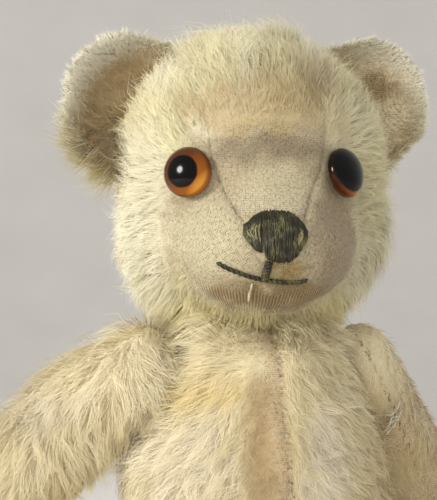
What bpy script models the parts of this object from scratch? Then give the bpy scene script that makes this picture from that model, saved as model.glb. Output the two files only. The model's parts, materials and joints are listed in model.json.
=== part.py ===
"""A jointed teddy bear of worn mohair cloth, sitting.

Metres, +Z up. The bear sits on Z = 0 and faces -Y, and its left side is +X.
The origin is on the seat, straight under the neck.
"""

import math

import bmesh
import bpy
from mathutils import Matrix, Vector

# Cloth, and the air left between pieces that touch
CLOTH = 0.0014
AIR = 0.0003
FILL_SLACK = 0.0006
TORSO_FILL_SLACK = 0.0020
HEAD_FILL_SLACK = 0.0026

# Torso, from the seat up: share of height, half width, half depth, shift back
TORSO_HEIGHT = 0.150
TORSO_ROWS = (
    (-0.08, 0.0440, 0.0400, 0.000),
    (0.23, 0.0465, 0.0430, -0.002),
    (0.47, 0.0450, 0.0420, -0.003),
    (0.70, 0.0400, 0.0375, -0.002),
    (0.87, 0.0355, 0.0335, 0.000),
    (1.08, 0.0300, 0.0290, 0.000),
)
SEAT_SINK = 0.006
SEAT_ROUND = 0.024
NECK_RISE = 0.010
NECK_ROUND = 0.036

# Head: places are measured from the middle of the neck
HEAD_TURN = math.radians(-9)
HEAD_MIDDLE = Vector((0.0, -0.006, 0.038))
HEAD_SHARPNESS = 9
SKULL = (Vector((0.0, 0.002, 0.047)), Vector((0.0375, 0.0380, 0.0385)))
JOWLS = (Vector((0.0, -0.002, 0.028)), Vector((0.0370, 0.0350, 0.0330)))
MUZZLE = (Vector((0.0, -0.020, 0.0215)), Vector((0.0275, 0.0290, 0.0195)))
BROW = (Vector((0.0, -0.010, 0.052)), Vector((0.0300, 0.0260, 0.0260)))

# Head gusset: degrees over the head from straight ahead, and half width
GUSSET_ROWS = (
    (-34, 0.0015),
    (-12, 0.0095),
    (15, 0.0155),
    (45, 0.0185),
    (85, 0.0205),
    (125, 0.0205),
    (175, 0.0150),
    (214, 0.0030),
)

# Ears: the two ends of the line along which each is sewn to the head
EAR_TOP = Vector((0.0180, 0.004, 0.0790))
EAR_FOOT = Vector((0.0395, 0.002, 0.0440))
EAR_HEIGHT = 0.0235
EAR_END_HEIGHT = 0.005
EAR_CUP = 0.005

# Eyes
EYE_OUT = 0.0250
EYE_HEIGHT = 0.0460
EYE_FRONT = 0.0300
EYE_RADIUS = 0.0076
EYE_DOME = 0.0056
EYE_RIM = 0.0012
EYE_TURN_LEFT = math.radians(41)
EYE_TURN_RIGHT = math.radians(33)
EYE_LIFT = math.radians(8)
EYE_WIRE = 0.0004
EYE_SHANK = 0.0050
EYE_SHANK_WIDTH = 0.0018
EYE_HOLE = 0.0018
EYE_BACK = 0.94
EYE_CROWN = math.radians(84)

# Nose and mouth, sewn in thread
NOSE_HEIGHT = 0.0262
NOSE_HALF_WIDTH = 0.0098
NOSE_HALF_HEIGHT = 0.0078
NOSE_EDGE = 0.0008
NOSE_PADDING = 0.0018
NOSE_THREADS = 10
NOSE_RIDGE = 0.0007
NOSE_SQUARENESS = 2.6
NOSE_SPAN = 0.97
NOSE_SLOPE = 0.6
FACE_REACH = 0.0500
MOUTH_THREAD = 0.0008
MOUTH_HEIGHT = 0.0155
MOUTH_SIDE = -0.0032
MOUTH_LEAN = 0.0026
MOUTH_HALF_WIDTH = 0.0142
MOUTH_DROP = 0.0020
PHILTRUM_TOP = -0.0022

# Joints
JOINT_GAP = 0.0008
SHOULDER_DROP = 0.0215
SHOULDER_PRESS = 0.0055
SHOULDER_TILT_LEFT = math.radians(25)
SHOULDER_TILT_RIGHT = math.radians(30)
SHOULDER_DISC = 0.0090
HIP_HEIGHT = 0.0255
HIP_BACK = 0.002
HIP_PRESS = 0.0078
HIP_SPLAY = math.radians(7)
HIP_DISC = 0.0100
NECK_DISC = 0.0115
DISC = 0.0020
WASHER = 0.0008
WASHER_RADIUS = 0.0055
PIN_HOLE = 0.0022
PIN_CLEARANCE = 0.0008
PIN_WIRE = 0.00055
PIN_SPLIT = 0.0003
PIN_EYE = 0.0023
PIN_CURL = 0.0021
PIN_CURL_TURN = math.radians(171)

# Arms, from the top down: share of length, half width, half thickness, shift out, shift forward
ARM_LENGTH = 0.112
ARM_ABOVE = 0.019
ARM_TOP_ROUND = 0.017
ARM_END_ROUND = 0.014
ARM_SWING_LEFT = math.radians(-30)
ARM_SWING_RIGHT = math.radians(-46)
ARM_ROWS = (
    (-0.17, 0.0175, 0.0160, 0.0078, 0.000),
    (0.09, 0.0182, 0.0165, 0.0088, 0.000),
    (0.40, 0.0182, 0.0155, 0.0140, 0.001),
    (0.67, 0.0160, 0.0140, 0.0150, 0.004),
    (0.87, 0.0150, 0.0132, 0.0150, 0.009),
    (1.02, 0.0140, 0.0120, 0.0150, 0.013),
)
PAW_PAD = 0.028

# Legs, from the hip to the sole: share of length, half height, half thickness, shift out, shift up
LEG_LENGTH = 0.120
LEG_BEHIND = 0.024
LEG_TOP_ROUND = 0.023
LEG_ROWS = (
    (-0.20, 0.0240, 0.0180, 0.0100, 0.0000),
    (0.08, 0.0255, 0.0190, 0.0110, 0.0000),
    (0.42, 0.0225, 0.0180, 0.0150, -0.0030),
    (0.67, 0.0200, 0.0165, 0.0160, -0.0055),
    (0.80, 0.0225, 0.0165, 0.0165, -0.0030),
    (0.90, 0.0290, 0.0175, 0.0170, 0.0040),
    (1.00, 0.0295, 0.0175, 0.0170, 0.0045),
)
FOOT_PAD = 0.0015
FOOT_PAD_CROWN = 0.0010


def between(rows, station):
    """The values at a station, on a smooth curve through the rows."""
    last = len(rows) - 1
    station = min(max(station, rows[0][0]), rows[last][0])
    i = max(k for k in range(last) if rows[k][0] <= station or k == 0)

    def slope(k, column):
        low, high = max(k - 1, 0), min(k + 1, last)
        return (rows[high][column] - rows[low][column]) / (rows[high][0] - rows[low][0])

    run = rows[i + 1][0] - rows[i][0]
    t = (station - rows[i][0]) / run
    values = []
    for column in range(1, len(rows[0])):
        start, end = rows[i][column], rows[i + 1][column]
        values.append(
            start * (1 + 2 * t) * (1 - t) ** 2
            + end * t * t * (3 - 2 * t)
            + run * slope(i, column) * t * (1 - t) ** 2
            - run * slope(i + 1, column) * t * t * (1 - t)
        )
    return values


def outline_run(ends):
    """How far it is along a form's outline: its first round end, its sides and its last end."""
    start, start_round, end, end_round = ends
    return (
        start_round * math.pi / 2,
        (end - end_round) - (start + start_round),
        end_round * math.pi / 2,
    )


def station_at(ends, share):
    """The station at a share of the way along a form's outline. A flat end has no round."""
    start, start_round, end, end_round = ends
    first, straight, last = outline_run(ends)
    run = (first + straight + last) * share
    if run < first:
        return start + start_round * (1 - math.cos(run / start_round))
    if run <= first + straight or not end_round:
        return start + start_round + run - first
    return end - end_round * (1 - math.cos((first + straight + last - run) / end_round))


def share_at(ends, station):
    """The share of the way along a form's outline of a station on its straight stretch."""
    first, straight, last = outline_run(ends)
    return (first + station - ends[0] - ends[1]) / (first + straight + last)


def drawn_in(ends, depth):
    """The ends of the same form, depth under its surface. A flat end stays where it is."""
    start, start_round, end, end_round = ends
    if not end_round:
        return start + depth, start_round - depth, end, 0.0
    return start + depth, start_round - depth, end - depth, end_round - depth


def roundness(distance, radius):
    """The share of its full section that a form has this far from a round end."""
    if radius == 0 or distance >= radius:
        return 1.0
    return math.sqrt(max(0.0, 1 - (1 - distance / radius) ** 2))


def finish(name, shape, look, carrier):
    """Makes an object of a shape, with one material, on the empty that carries it."""
    bmesh.ops.recalc_face_normals(shape, faces=shape.faces)
    if shape.calc_volume(signed=True) < 0:
        bmesh.ops.reverse_faces(shape, faces=shape.faces)
    mesh = bpy.data.meshes.new(name)
    shape.to_mesh(mesh)
    shape.free()
    mesh.shade_smooth()
    mesh.set_sharp_from_angle(angle=math.radians(40))
    mesh.materials.append(look)
    made = bpy.data.objects.new(name, mesh)
    bpy.context.scene.collection.objects.link(made)
    made.parent = carrier
    return made


def cloth_panel(name, rows, columns, place, look, carrier):
    """A panel cut from cloth: a grid extruded to two layers and laid on a form.

    place(row, column, depth) gives the point of a layer.
    """
    shape = bmesh.new()
    bmesh.ops.create_grid(shape, x_segments=rows, y_segments=columns, size=1)
    lower = bmesh.ops.extrude_face_region(shape, geom=shape.faces[:])["geom"]
    bmesh.ops.translate(
        shape, vec=(0, 0, 1), verts=[v for v in lower if isinstance(v, bmesh.types.BMVert)]
    )
    for vertex in shape.verts:
        row = round((vertex.co.x + 1) / 2 * rows)
        column = round((vertex.co.y + 1) / 2 * columns)
        vertex.co = place(row, column, CLOTH * round(vertex.co.z))
    return finish(name, shape, look, carrier)


def round_panel(name, rings, around, place, look, carrier):
    """A panel of cloth with a closed outline: a disc of rings laid on a form.

    place(ring, step, depth) gives the point of a layer. Ring 0 is the outline.
    """
    shape = bmesh.new()
    bmesh.ops.create_circle(shape, radius=1, segments=around, cap_ends=False)
    edges = shape.edges[:]
    for ring in range(1, rings):
        made = bmesh.ops.extrude_edge_only(shape, edges=edges)["geom"]
        inner = [v for v in made if isinstance(v, bmesh.types.BMVert)]
        share = (rings - ring) / (rings - ring + 1)
        bmesh.ops.scale(shape, vec=(share, share, 1), verts=inner)
        edges = [
            e for e in made
            if isinstance(e, bmesh.types.BMEdge) and all(v in inner for v in e.verts)
        ]
    middle = bmesh.ops.contextual_create(shape, geom=edges)["faces"]
    bmesh.ops.poke(shape, faces=middle)
    lower = bmesh.ops.extrude_face_region(shape, geom=shape.faces[:])["geom"]
    bmesh.ops.translate(
        shape, vec=(0, 0, 1), verts=[v for v in lower if isinstance(v, bmesh.types.BMVert)]
    )
    for vertex in shape.verts:
        reach = math.hypot(vertex.co.x, vertex.co.y)
        turn = math.atan2(vertex.co.x, vertex.co.y) / (2 * math.pi)
        ring = round((1 - reach) * rings)
        step = round(turn * around) % around if ring < rings else 0
        vertex.co = place(ring, step, round(vertex.co.z))
    return finish(name, shape, look, carrier)


def filling(name, levels, around, place, look, carrier):
    """A body of stuffing: a globe laid on a form. place(level, turn) gives its points."""
    shape = bmesh.new()
    bmesh.ops.create_uvsphere(shape, u_segments=around, v_segments=levels, radius=1)
    for vertex in shape.verts:
        level = round(math.acos(min(max(vertex.co.z, -1), 1)) / math.pi * levels)
        vertex.co = place(level, math.atan2(vertex.co.y, vertex.co.x))
    return finish(name, shape, look, carrier)


def turned(name, profile, sides, look, carrier, frame=Matrix.Identity(4)):
    """A solid of revolution about Z, spun from a profile of (radius, height) pairs.

    A profile that ends where it starts makes a ring, and any other is capped.
    """
    shape = bmesh.new()
    closed = profile[0] == profile[-1]
    points = profile[:-1] if closed else profile
    line = [shape.verts.new((radius, 0, height)) for radius, height in points]
    edges = [shape.edges.new(pair) for pair in zip(line, line[1:])]
    if closed:
        edges.append(shape.edges.new((line[-1], line[0])))
    bmesh.ops.spin(
        shape, geom=line + edges, cent=(0, 0, 0), axis=(0, 0, 1), dvec=(0, 0, 0),
        angle=2 * math.pi, steps=sides, use_merge=True,
    )
    bmesh.ops.holes_fill(shape, edges=[e for e in shape.edges if e.is_boundary], sides=0)
    bmesh.ops.transform(shape, matrix=frame, verts=shape.verts)
    return finish(name, shape, look, carrier)


def wire(name, points, radius, look, carrier):
    """A wire or a thread along points, with filled ends."""
    curve = bpy.data.curves.new(name, "CURVE")
    curve.dimensions = "3D"
    curve.bevel_depth = radius
    curve.bevel_resolution = 1
    curve.use_fill_caps = True
    spline = curve.splines.new("POLY")
    spline.points.add(len(points) - 1)
    for place, point in zip(spline.points, points):
        place.co = (*point, 1.0)
    curve.materials.append(look)
    made = bpy.data.objects.new(name, curve)
    bpy.context.scene.collection.objects.link(made)
    made.parent = carrier
    return made


def cut(target, name, profile, sides, carrier, frame=Matrix.Identity(4)):
    """Cuts a turned hole or pocket out of a piece."""
    cutter = turned(name, profile, sides, target.data.materials[0], carrier, frame)
    cutter.hide_render = True
    cutter.display_type = "WIRE"
    modifier = target.modifiers.new(name, "BOOLEAN")
    modifier.operation = "DIFFERENCE"
    modifier.object = cutter


def frame_of(origin, axis, towards):
    """A frame at a point whose Z is the axis and whose X leans towards a direction."""
    z = axis.normalized()
    x = (towards - z * towards.dot(z)).normalized()
    matrix = Matrix((x, z.cross(x), z)).transposed().to_4x4()
    matrix.translation = origin
    return matrix


def colour_of(name, colour, roughness, metallic=0.0):
    """A material with one colour and finish."""
    material = bpy.data.materials.new(name)
    material.use_nodes = True
    shader = material.node_tree.nodes["Principled BSDF"]
    shader.inputs["Base Color"].default_value = (*colour, 1.0)
    shader.inputs["Roughness"].default_value = roughness
    shader.inputs["Metallic"].default_value = metallic
    material.diffuse_color = (*colour, 1.0)
    return material


def neck_frame():
    """The neck's axis is upright, and the head's frame is turned on it."""
    turn = Matrix.Rotation(HEAD_TURN, 4, "Z")
    return Matrix.Translation((0, 0, TORSO_HEIGHT + JOINT_GAP / 2)) @ turn


def shoulder_frame(side):
    """Z is the axis, tilted up, on which the arm turns. X runs down the arm."""
    height = TORSO_HEIGHT - SHOULDER_DROP
    half_width = between(TORSO_ROWS, height / TORSO_HEIGHT)[0]
    place = Vector((side * (half_width - SHOULDER_PRESS), 0, height))
    tilt = SHOULDER_TILT_LEFT if side > 0 else SHOULDER_TILT_RIGHT
    swing = ARM_SWING_LEFT if side > 0 else ARM_SWING_RIGHT
    axis = Vector((side * math.cos(tilt), 0, math.sin(tilt)))
    return frame_of(place, axis, Vector((0, 0, -1))) @ Matrix.Rotation(-side * swing, 4, "Z")


def hip_frame(side):
    """Z is the level axis on which the leg turns. X runs along the leg to the sole."""
    half_width = between(TORSO_ROWS, HIP_HEIGHT / TORSO_HEIGHT)[0]
    place = Vector((side * (half_width - HIP_PRESS), HIP_BACK, HIP_HEIGHT))
    axis = Vector((side * math.cos(HIP_SPLAY), math.sin(HIP_SPLAY), 0))
    return frame_of(place, axis, Vector((0, -1, 0)))


def joint_empty(name, frame):
    """An empty on a joint's axis, which carries the pieces that turn on it."""
    empty = bpy.data.objects.new(name, None)
    empty.matrix_world = frame
    empty.empty_display_size = DISC
    bpy.context.scene.collection.objects.link(empty)
    return empty


def pressed(point, frame, depth):
    """A torso point moved back inside a joint's plane, or depth inside it."""
    axis = frame.col[2].xyz
    over = (point - frame.translation).dot(axis) + JOINT_GAP / 2 + depth
    return point - axis * over if over > 0 else point


def torso_point(frames, share, turn, depth):
    """A point of the torso. Turn 0 is the front, and a quarter turn is the left side."""
    ends = drawn_in((-SEAT_SINK, SEAT_ROUND, TORSO_HEIGHT + NECK_RISE, NECK_ROUND), depth)
    station = station_at(ends, share)
    half_width, half_depth, back = between(TORSO_ROWS, station / TORSO_HEIGHT)
    full = roundness(station - ends[0], ends[1]) * roundness(ends[2] - station, ends[3])
    least = PIN_HOLE if station > TORSO_HEIGHT else AIR
    point = Vector((
        max((half_width - depth) * full, least) * math.sin(turn),
        back * full - max((half_depth - depth) * full, least) * math.cos(turn),
        min(max(station, depth), TORSO_HEIGHT - depth),
    ))
    for frame in frames:
        point = pressed(point, frame, depth)
    return point


def ellipsoid_reach(origin, direction, lump):
    """How far a ray from a point inside an ellipsoid runs before it leaves."""
    centre, half = lump
    start = Vector([(o - c) / h for o, c, h in zip(origin, centre, half)])
    step = Vector([d / h for d, h in zip(direction, half)])
    a, b, c = step.dot(step), start.dot(step), start.dot(start) - 1
    return (-b + math.sqrt(max(b * b - a * c, 0.0))) / a


def head_point(direction, depth=0.0):
    """A point of the head in a direction from its middle, depth under the surface."""
    direction = direction.normalized()
    reaches = [
        ellipsoid_reach(HEAD_MIDDLE, direction, lump)
        for lump in (SKULL, JOWLS, MUZZLE, BROW)
    ]
    most = max(reaches)
    total = sum((r / most) ** HEAD_SHARPNESS for r in reaches if r > 0) / 2
    reach = most * max(total, 1.0) ** (1 / HEAD_SHARPNESS)
    point = HEAD_MIDDLE + direction * (reach - depth)
    point.z = max(point.z, JOINT_GAP / 2 + depth)
    return point


def head_direction(along, across):
    """A direction from the head's middle.

    along runs up the middle line from straight ahead, and across from it to the left side.
    """
    return Vector((
        math.sin(across),
        -math.cos(across) * math.cos(along),
        math.cos(across) * math.sin(along),
    ))


def seam_across(along, gap):
    """How far across the gusset's seam runs, or the chin's seam under it."""
    degrees = math.degrees(along)
    reach = (head_point(head_direction(along, 0.0)) - HEAD_MIDDLE).length
    inside = degrees <= GUSSET_ROWS[-1][0]
    half = between(GUSSET_ROWS, degrees)[0] if inside else 0.0
    return math.asin(min((half + gap) / reach, 0.9))


def build_head(carrier, mohair, fibre):
    """The head's gusset and two sides, and its stuffing."""
    first, last = (math.radians(GUSSET_ROWS[k][0]) for k in (0, -1))
    over, under, across_count, rings = 21, 9, 4, 7
    levels, around = 12, 22
    alongs = [first + (last - first) * i / over for i in range(over)]
    alongs += [last + (first + 2 * math.pi - last) * i / under for i in range(under)]

    def gusset_point(row, column, depth):
        along = first + (last - first) * row / over
        edge = seam_across(along, -AIR / 2)
        return head_point(head_direction(along, edge * (2 * column / across_count - 1)), depth)

    panels = [cloth_panel("head_gusset", over, across_count, gusset_point, mohair, carrier)]
    for side, name in ((1, "head_side_left"), (-1, "head_side_right")):
        def side_point(ring, step, layer):
            along = alongs[step]
            edge = seam_across(along, AIR / 2)
            across = edge + (math.pi / 2 - edge) * ring / rings
            return head_point(head_direction(along, side * across), CLOTH * layer)

        panels.append(round_panel(name, rings, len(alongs), side_point, mohair, carrier))

    depth = CLOTH + AIR + HEAD_FILL_SLACK

    def fill_point(level, turn):
        return head_point(head_direction(turn, math.pi * (0.5 - level / levels)), depth)

    return panels, filling("head_stuffing", levels, around, fill_point, fibre, carrier)


def build_ears(carrier, mohair):
    """Two layers of cloth for each ear, cupped forward and sewn to the head on a line."""
    rows, columns = 3, 8
    line = EAR_FOOT - EAR_TOP
    out = Vector((-line.z, 0.0, line.x)).normalized()
    for side, hand in ((1, "left"), (-1, "right")):
        for layer, near in (("front", -CLOTH - AIR / 2), ("back", AIR / 2)):
            def ear_point(row, column, depth):
                u = 2 * column / columns - 1
                offset = near + CLOTH - depth if near > 0 else near + depth
                seat = EAR_TOP + line * (column / columns)
                seat = seat + Vector((0.0, EAR_CUP * (1 - u * u) + offset, 0.0))
                foot = head_point(seat - HEAD_MIDDLE, -AIR)
                bow = math.sqrt(max(0.0, 1 - u * u))
                rise = (EAR_END_HEIGHT + (EAR_HEIGHT - EAR_END_HEIGHT) * bow) * row / rows
                curl = Vector((0.0, -EAR_CUP * (row / rows) ** 2, 0.0))
                point = foot + out * rise + curl
                return Vector((side * point.x, point.y, point.z))

            cloth_panel(f"ear_{hand}_{layer}", rows, columns, ear_point, mohair, carrier)


def eye_frame(side):
    """The frame of an eye: Z looks out of the head, and its back lies on the cloth."""
    turn = EYE_TURN_LEFT if side > 0 else EYE_TURN_RIGHT
    level = math.cos(EYE_LIFT)
    look_out = Vector((
        side * math.sin(turn) * level,
        -math.cos(turn) * level,
        math.sin(EYE_LIFT),
    ))
    place = Vector((side * EYE_OUT, -EYE_FRONT, EYE_HEIGHT))
    frame = frame_of(head_point(place - HEAD_MIDDLE), look_out, Vector((0, 0, 1)))
    proud = 0.0
    for i in range(24):
        angle = 2 * math.pi * i / 24
        for share in (0.5, 1.0):
            radius = EYE_RADIUS * share
            rim = frame @ Vector((radius * math.cos(angle), radius * math.sin(angle), 0.0))
            skin = head_point(rim - HEAD_MIDDLE)
            proud = max(proud, (skin - rim).dot(look_out))
    frame.translation += look_out * (proud + AIR)
    return frame


def build_eyes(carrier, glass, steel, panels, stuffing):
    """A glass eye on each side, with the wire loop that is sewn through the cloth."""
    for side, name, panel in ((1, "left", panels[1]), (-1, "right", panels[2])):
        frame = eye_frame(side)
        profile = [(EYE_RADIUS * EYE_BACK, 0.0), (EYE_RADIUS, EYE_RIM / 2)]
        for i in range(6):
            angle = EYE_CROWN * i / 5
            profile.append((
                EYE_RADIUS * math.cos(angle),
                EYE_RIM + (EYE_DOME - EYE_RIM) * math.sin(angle),
            ))
        turned(f"eye_{name}", profile, 16, glass, carrier, frame)
        half = EYE_SHANK_WIDTH / 2
        loop = [(-half, -AIR - EYE_WIRE), (-half, half - EYE_SHANK), (-half / 2, -EYE_SHANK)]
        loop += [(-x, z) for x, z in reversed(loop)]
        points = [frame @ Vector((x, 0.0, z)) for x, z in loop]
        wire(f"eye_wire_{name}", points, EYE_WIRE, steel, carrier)
        hole = [(EYE_HOLE, -EYE_SHANK - 2 * EYE_WIRE), (EYE_HOLE, EYE_SHANK)]
        cut(panel, f"eye_hole_{name}", hole, 8, carrier, frame)
        cut(stuffing, f"eye_pocket_{name}", hole, 8, carrier, frame)


def face_point(across, height, over):
    """A point over the front of the muzzle, ahead of a place across and up."""
    return head_point(Vector((across, -FACE_REACH, height)) - HEAD_MIDDLE, -over)


def build_nose(carrier, thread):
    """A pad of upright stitches, laid close together over the end of the muzzle."""
    columns, rows = NOSE_THREADS * 2, 4

    def nose_point(column, row, depth):
        share = NOSE_SPAN * (2 * column / columns - 1)
        reach = (1 - abs(share) ** NOSE_SQUARENESS) ** (1 / NOSE_SQUARENESS)
        rise = 2 * row / rows - 1
        swell = NOSE_EDGE + NOSE_PADDING * reach * (1 - NOSE_SLOPE * rise ** 2)
        over = AIR if depth else AIR + swell + NOSE_RIDGE * (column % 2)
        height = NOSE_HEIGHT + rise * reach * NOSE_HALF_HEIGHT
        return face_point(share * NOSE_HALF_WIDTH, height, over)

    cloth_panel("nose_stitches", columns, rows, nose_point, thread, carrier)


def build_mouth(carrier, thread):
    """One long stitch for the mouth, and a short one up to the nose."""
    over = MOUTH_THREAD + AIR
    steps = 12
    mouth = []
    for i in range(steps + 1):
        share = 2 * i / steps - 1
        height = MOUTH_HEIGHT - MOUTH_DROP * (1 - share ** 2) - MOUTH_LEAN * share
        mouth.append(face_point(MOUTH_SIDE + share * MOUTH_HALF_WIDTH, height, over))
    wire("mouth_stitch", mouth, MOUTH_THREAD, thread, carrier)
    low = MOUTH_HEIGHT - MOUTH_DROP + MOUTH_THREAD + 2 * AIR
    high = NOSE_HEIGHT - NOSE_HALF_HEIGHT - 2 * AIR
    upright = []
    for i in range(4):
        across = MOUTH_SIDE + (PHILTRUM_TOP - MOUTH_SIDE) * i / 3
        upright.append(face_point(across, low + (high - low) * i / 3, over))
    wire("philtrum_stitch", upright, MOUTH_THREAD, thread, carrier)


def build_torso(frames, mohair, fibre):
    """The torso's left and right halves, sewn up the front and back, and its stuffing."""
    rows, columns = 16, 10
    panels = []
    for side, name in ((1, "torso_left"), (-1, "torso_right")):
        def half_point(row, column, depth):
            point = torso_point(frames, row / rows, side * math.pi * column / columns, depth)
            point.x = side * max(side * point.x, AIR / 2)
            return point

        panels.append(cloth_panel(name, rows, columns, half_point, mohair, None))
    depth = CLOTH + AIR + TORSO_FILL_SLACK

    def fill_point(level, turn):
        return torso_point(frames, level / rows, turn, depth)

    return panels, filling("torso_stuffing", rows, 2 * columns, fill_point, fibre, None)


def limb_point(limb, share, turn, depth):
    """A point of a limb in its joint's frame. Turn 0 faces out, and half a turn the torso."""
    rows, length, ends, floor, side = limb
    ends = drawn_in(ends, depth)
    station = station_at(ends, share)
    wide, thick, out, fore = between(rows, station / length)
    full = roundness(station - ends[0], ends[1]) * roundness(ends[2] - station, ends[3])
    across = fore + max((wide - depth) * full, AIR) * math.sin(turn)
    outward = out + max((thick - depth) * full, AIR) * math.cos(turn)
    outward = max(outward, JOINT_GAP / 2 + depth)
    return Vector((station, -side * max(across, floor + depth), outward))


def limb_middle(limb, depth):
    """The middle of a limb's flat end."""
    low, high = (limb_point(limb, 1.0, turn, depth) for turn in (-math.pi / 2, math.pi / 2))
    return (low + high) / 2


def limb_half(name, limb, shares, columns, start, cloth, carrier):
    """A limb's outer or inner half, or a stretch of it, as a panel of cloth."""
    facing = 1 if start < 0 else -1

    def half_point(row, column, depth):
        point = limb_point(limb, shares[row], start + math.pi * column / columns, depth)
        if column in (0, columns):
            point.z += facing * AIR / 2
        return point

    return cloth_panel(name, len(shares) - 1, columns, half_point, cloth, carrier)


def build_limb(name, limb, rows, mohair, fibre, carrier, pad=None):
    """A limb's outer and inner panels and its stuffing. The inner one may end in a pad."""
    columns, half = 5, math.pi / 2
    shares = [i / rows for i in range(rows + 1)]
    limb_half(f"{name}_outer", limb, shares, columns, -half, mohair, carrier)
    if pad is None:
        inner = limb_half(f"{name}_inner", limb, shares, columns, half, mohair, carrier)
    else:
        pad_name, station, felt = pad
        seam = share_at(limb[2], station)
        gap = AIR / sum(outline_run(limb[2]))
        above = [share for share in shares if share < seam - 0.5 / rows] + [seam - gap / 2]
        below = [seam + gap / 2] + [share for share in shares if share > seam + 0.5 / rows]
        inner = limb_half(f"{name}_inner", limb, above, columns, half, mohair, carrier)
        limb_half(pad_name, limb, below, columns, half, felt, carrier)
    depth = CLOTH + AIR + FILL_SLACK
    flat_end = 0 if limb[2][3] else 1

    def fill_point(level, turn):
        if level > rows:
            return limb_middle(limb, depth)
        return limb_point(limb, level / rows, turn, depth)

    levels = rows + flat_end
    return inner, filling(f"{name}_stuffing", levels, 2 * columns, fill_point, fibre, carrier)


def build_foot_pad(name, limb, felt, carrier):
    """The pad sewn over the open end of a leg, a little crowned."""
    rings, around = 3, 20
    middle = limb_middle(limb, 0.0)

    def pad_point(ring, step, layer):
        share = 1 - ring / rings
        rim = limb_point(limb, 1.0, 2 * math.pi * step / around, 0.0)
        point = middle + (rim - middle) * share
        point.x += AIR + (FOOT_PAD + FOOT_PAD_CROWN * (1 - share ** 2) if layer else 0.0)
        return point

    round_panel(name, rings, around, pad_point, felt, carrier)


def build_joint(name, carrier, disc_radius, limb_parts, torso_parts, board, steel):
    """Two discs, two washers and the split pin that holds a limb to the torso."""
    start = JOINT_GAP / 2 + CLOTH + AIR
    washer_at = start + DISC + AIR
    pin_at = washer_at + WASHER + AIR + PIN_WIRE
    inner = PIN_WIRE * 2 + PIN_SPLIT / 2 + PIN_CLEARANCE
    for body, way in (("limb", 1), ("torso", -1)):
        for piece, radius, low, high, sides, look in (
            ("disc", disc_radius, start, start + DISC, 12, board),
            ("washer", WASHER_RADIUS, washer_at, washer_at + WASHER, 8, steel),
        ):
            a, b = way * low, way * high
            profile = [(inner, a), (radius, a), (radius, b), (inner, b), (inner, a)]
            turned(f"{name}_{piece}_{body}", profile, sides, look, carrier)

    leg = PIN_WIRE + PIN_SPLIT / 2
    path = []
    for i in range(5):
        angle = PIN_CURL_TURN * (4 - i) / 4
        path.append((leg + PIN_CURL * (1 - math.cos(angle)), -pin_at - PIN_CURL * math.sin(angle)))
    opening = math.asin(leg / PIN_EYE)
    middle = pin_at + PIN_EYE * math.cos(opening) - PIN_WIRE
    for i in range(4):
        angle = opening + (math.pi - opening) * i / 3
        path.append((PIN_EYE * math.sin(angle), middle - PIN_EYE * math.cos(angle)))
    path += [(-x, z) for x, z in reversed(path[:-1])]
    wire(f"{name}_pin", [Vector((x, 0.0, z)) for x, z in path], PIN_WIRE, steel, carrier)

    hole = [(PIN_HOLE, -start), (PIN_HOLE, start)]
    for piece in limb_parts[0] + torso_parts[0]:
        cut(piece, f"{name}_hole_{piece.name}", hole, 10, carrier)
    around = AIR + PIN_WIRE
    steps = (
        (disc_radius + AIR, washer_at),
        (WASHER_RADIUS + AIR, pin_at),
        (leg + 2 * PIN_CURL + around, pin_at + PIN_CURL + around),
        (PIN_EYE + around, middle + PIN_EYE + around),
    )
    for stuffing, way, wanted in (
        (limb_parts[1], 1, (steps[0], steps[1], steps[3])),
        (torso_parts[1], -1, steps[:3]),
    ):
        profile, reached = [], 0.0
        for radius, height in wanted:
            profile += [(radius, way * reached), (radius, way * height)]
            reached = height
        cut(stuffing, f"{name}_pocket_{stuffing.name}", profile, 12, carrier)


def build_bear():
    mohair = colour_of("mohair", (0.72, 0.63, 0.42), 0.9)
    fibre = colour_of("wood_wool", (0.70, 0.60, 0.42), 0.95)
    felt = colour_of("felt", (0.52, 0.42, 0.28), 0.95)
    glass = colour_of("amber_glass", (0.55, 0.20, 0.02), 0.08)
    thread = colour_of("dark_thread", (0.05, 0.045, 0.025), 0.6)
    steel = colour_of("steel", (0.45, 0.44, 0.42), 0.4, 1.0)
    board = colour_of("hardboard", (0.30, 0.20, 0.11), 0.85)

    frames = [frame(side) for frame in (shoulder_frame, hip_frame) for side in (1, -1)]
    torso, torso_stuffing = build_torso(frames, mohair, fibre)

    neck = joint_empty("neck_joint", neck_frame())
    head, head_stuffing = build_head(neck, mohair, fibre)
    build_ears(neck, mohair)
    build_eyes(neck, glass, steel, head, head_stuffing)
    build_nose(neck, thread)
    build_mouth(neck, thread)
    build_joint("neck", neck, NECK_DISC, (head[1:], head_stuffing), ([], torso_stuffing), board, steel)

    arm_ends = (-ARM_ABOVE, ARM_TOP_ROUND, ARM_LENGTH, ARM_END_ROUND)
    leg_ends = (-LEG_BEHIND, LEG_TOP_ROUND, LEG_LENGTH, 0.0)
    for side, hand, panel in ((1, "left", torso[0]), (-1, "right", torso[1])):
        shoulder = joint_empty(f"shoulder_{hand}_joint", shoulder_frame(side))
        arm = (ARM_ROWS, ARM_LENGTH, arm_ends, -ARM_LENGTH, side)
        pad = (f"paw_pad_{hand}", ARM_LENGTH - PAW_PAD, felt)
        inner, fill = build_limb(f"arm_{hand}", arm, 13, mohair, fibre, shoulder, pad)
        build_joint(
            f"shoulder_{hand}", shoulder, SHOULDER_DISC,
            ([inner], fill), ([panel], torso_stuffing), board, steel,
        )
        hip = joint_empty(f"hip_{hand}_joint", hip_frame(side))
        leg = (LEG_ROWS, LEG_LENGTH, leg_ends, -HIP_HEIGHT, side)
        inner, fill = build_limb(f"leg_{hand}", leg, 13, mohair, fibre, hip)
        build_foot_pad(f"foot_pad_{hand}", leg, felt, hip)
        build_joint(
            f"hip_{hand}", hip, HIP_DISC,
            ([inner], fill), ([panel], torso_stuffing), board, steel,
        )


for old in list(bpy.data.objects):
    bpy.data.objects.remove(old)
build_bear()
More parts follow.
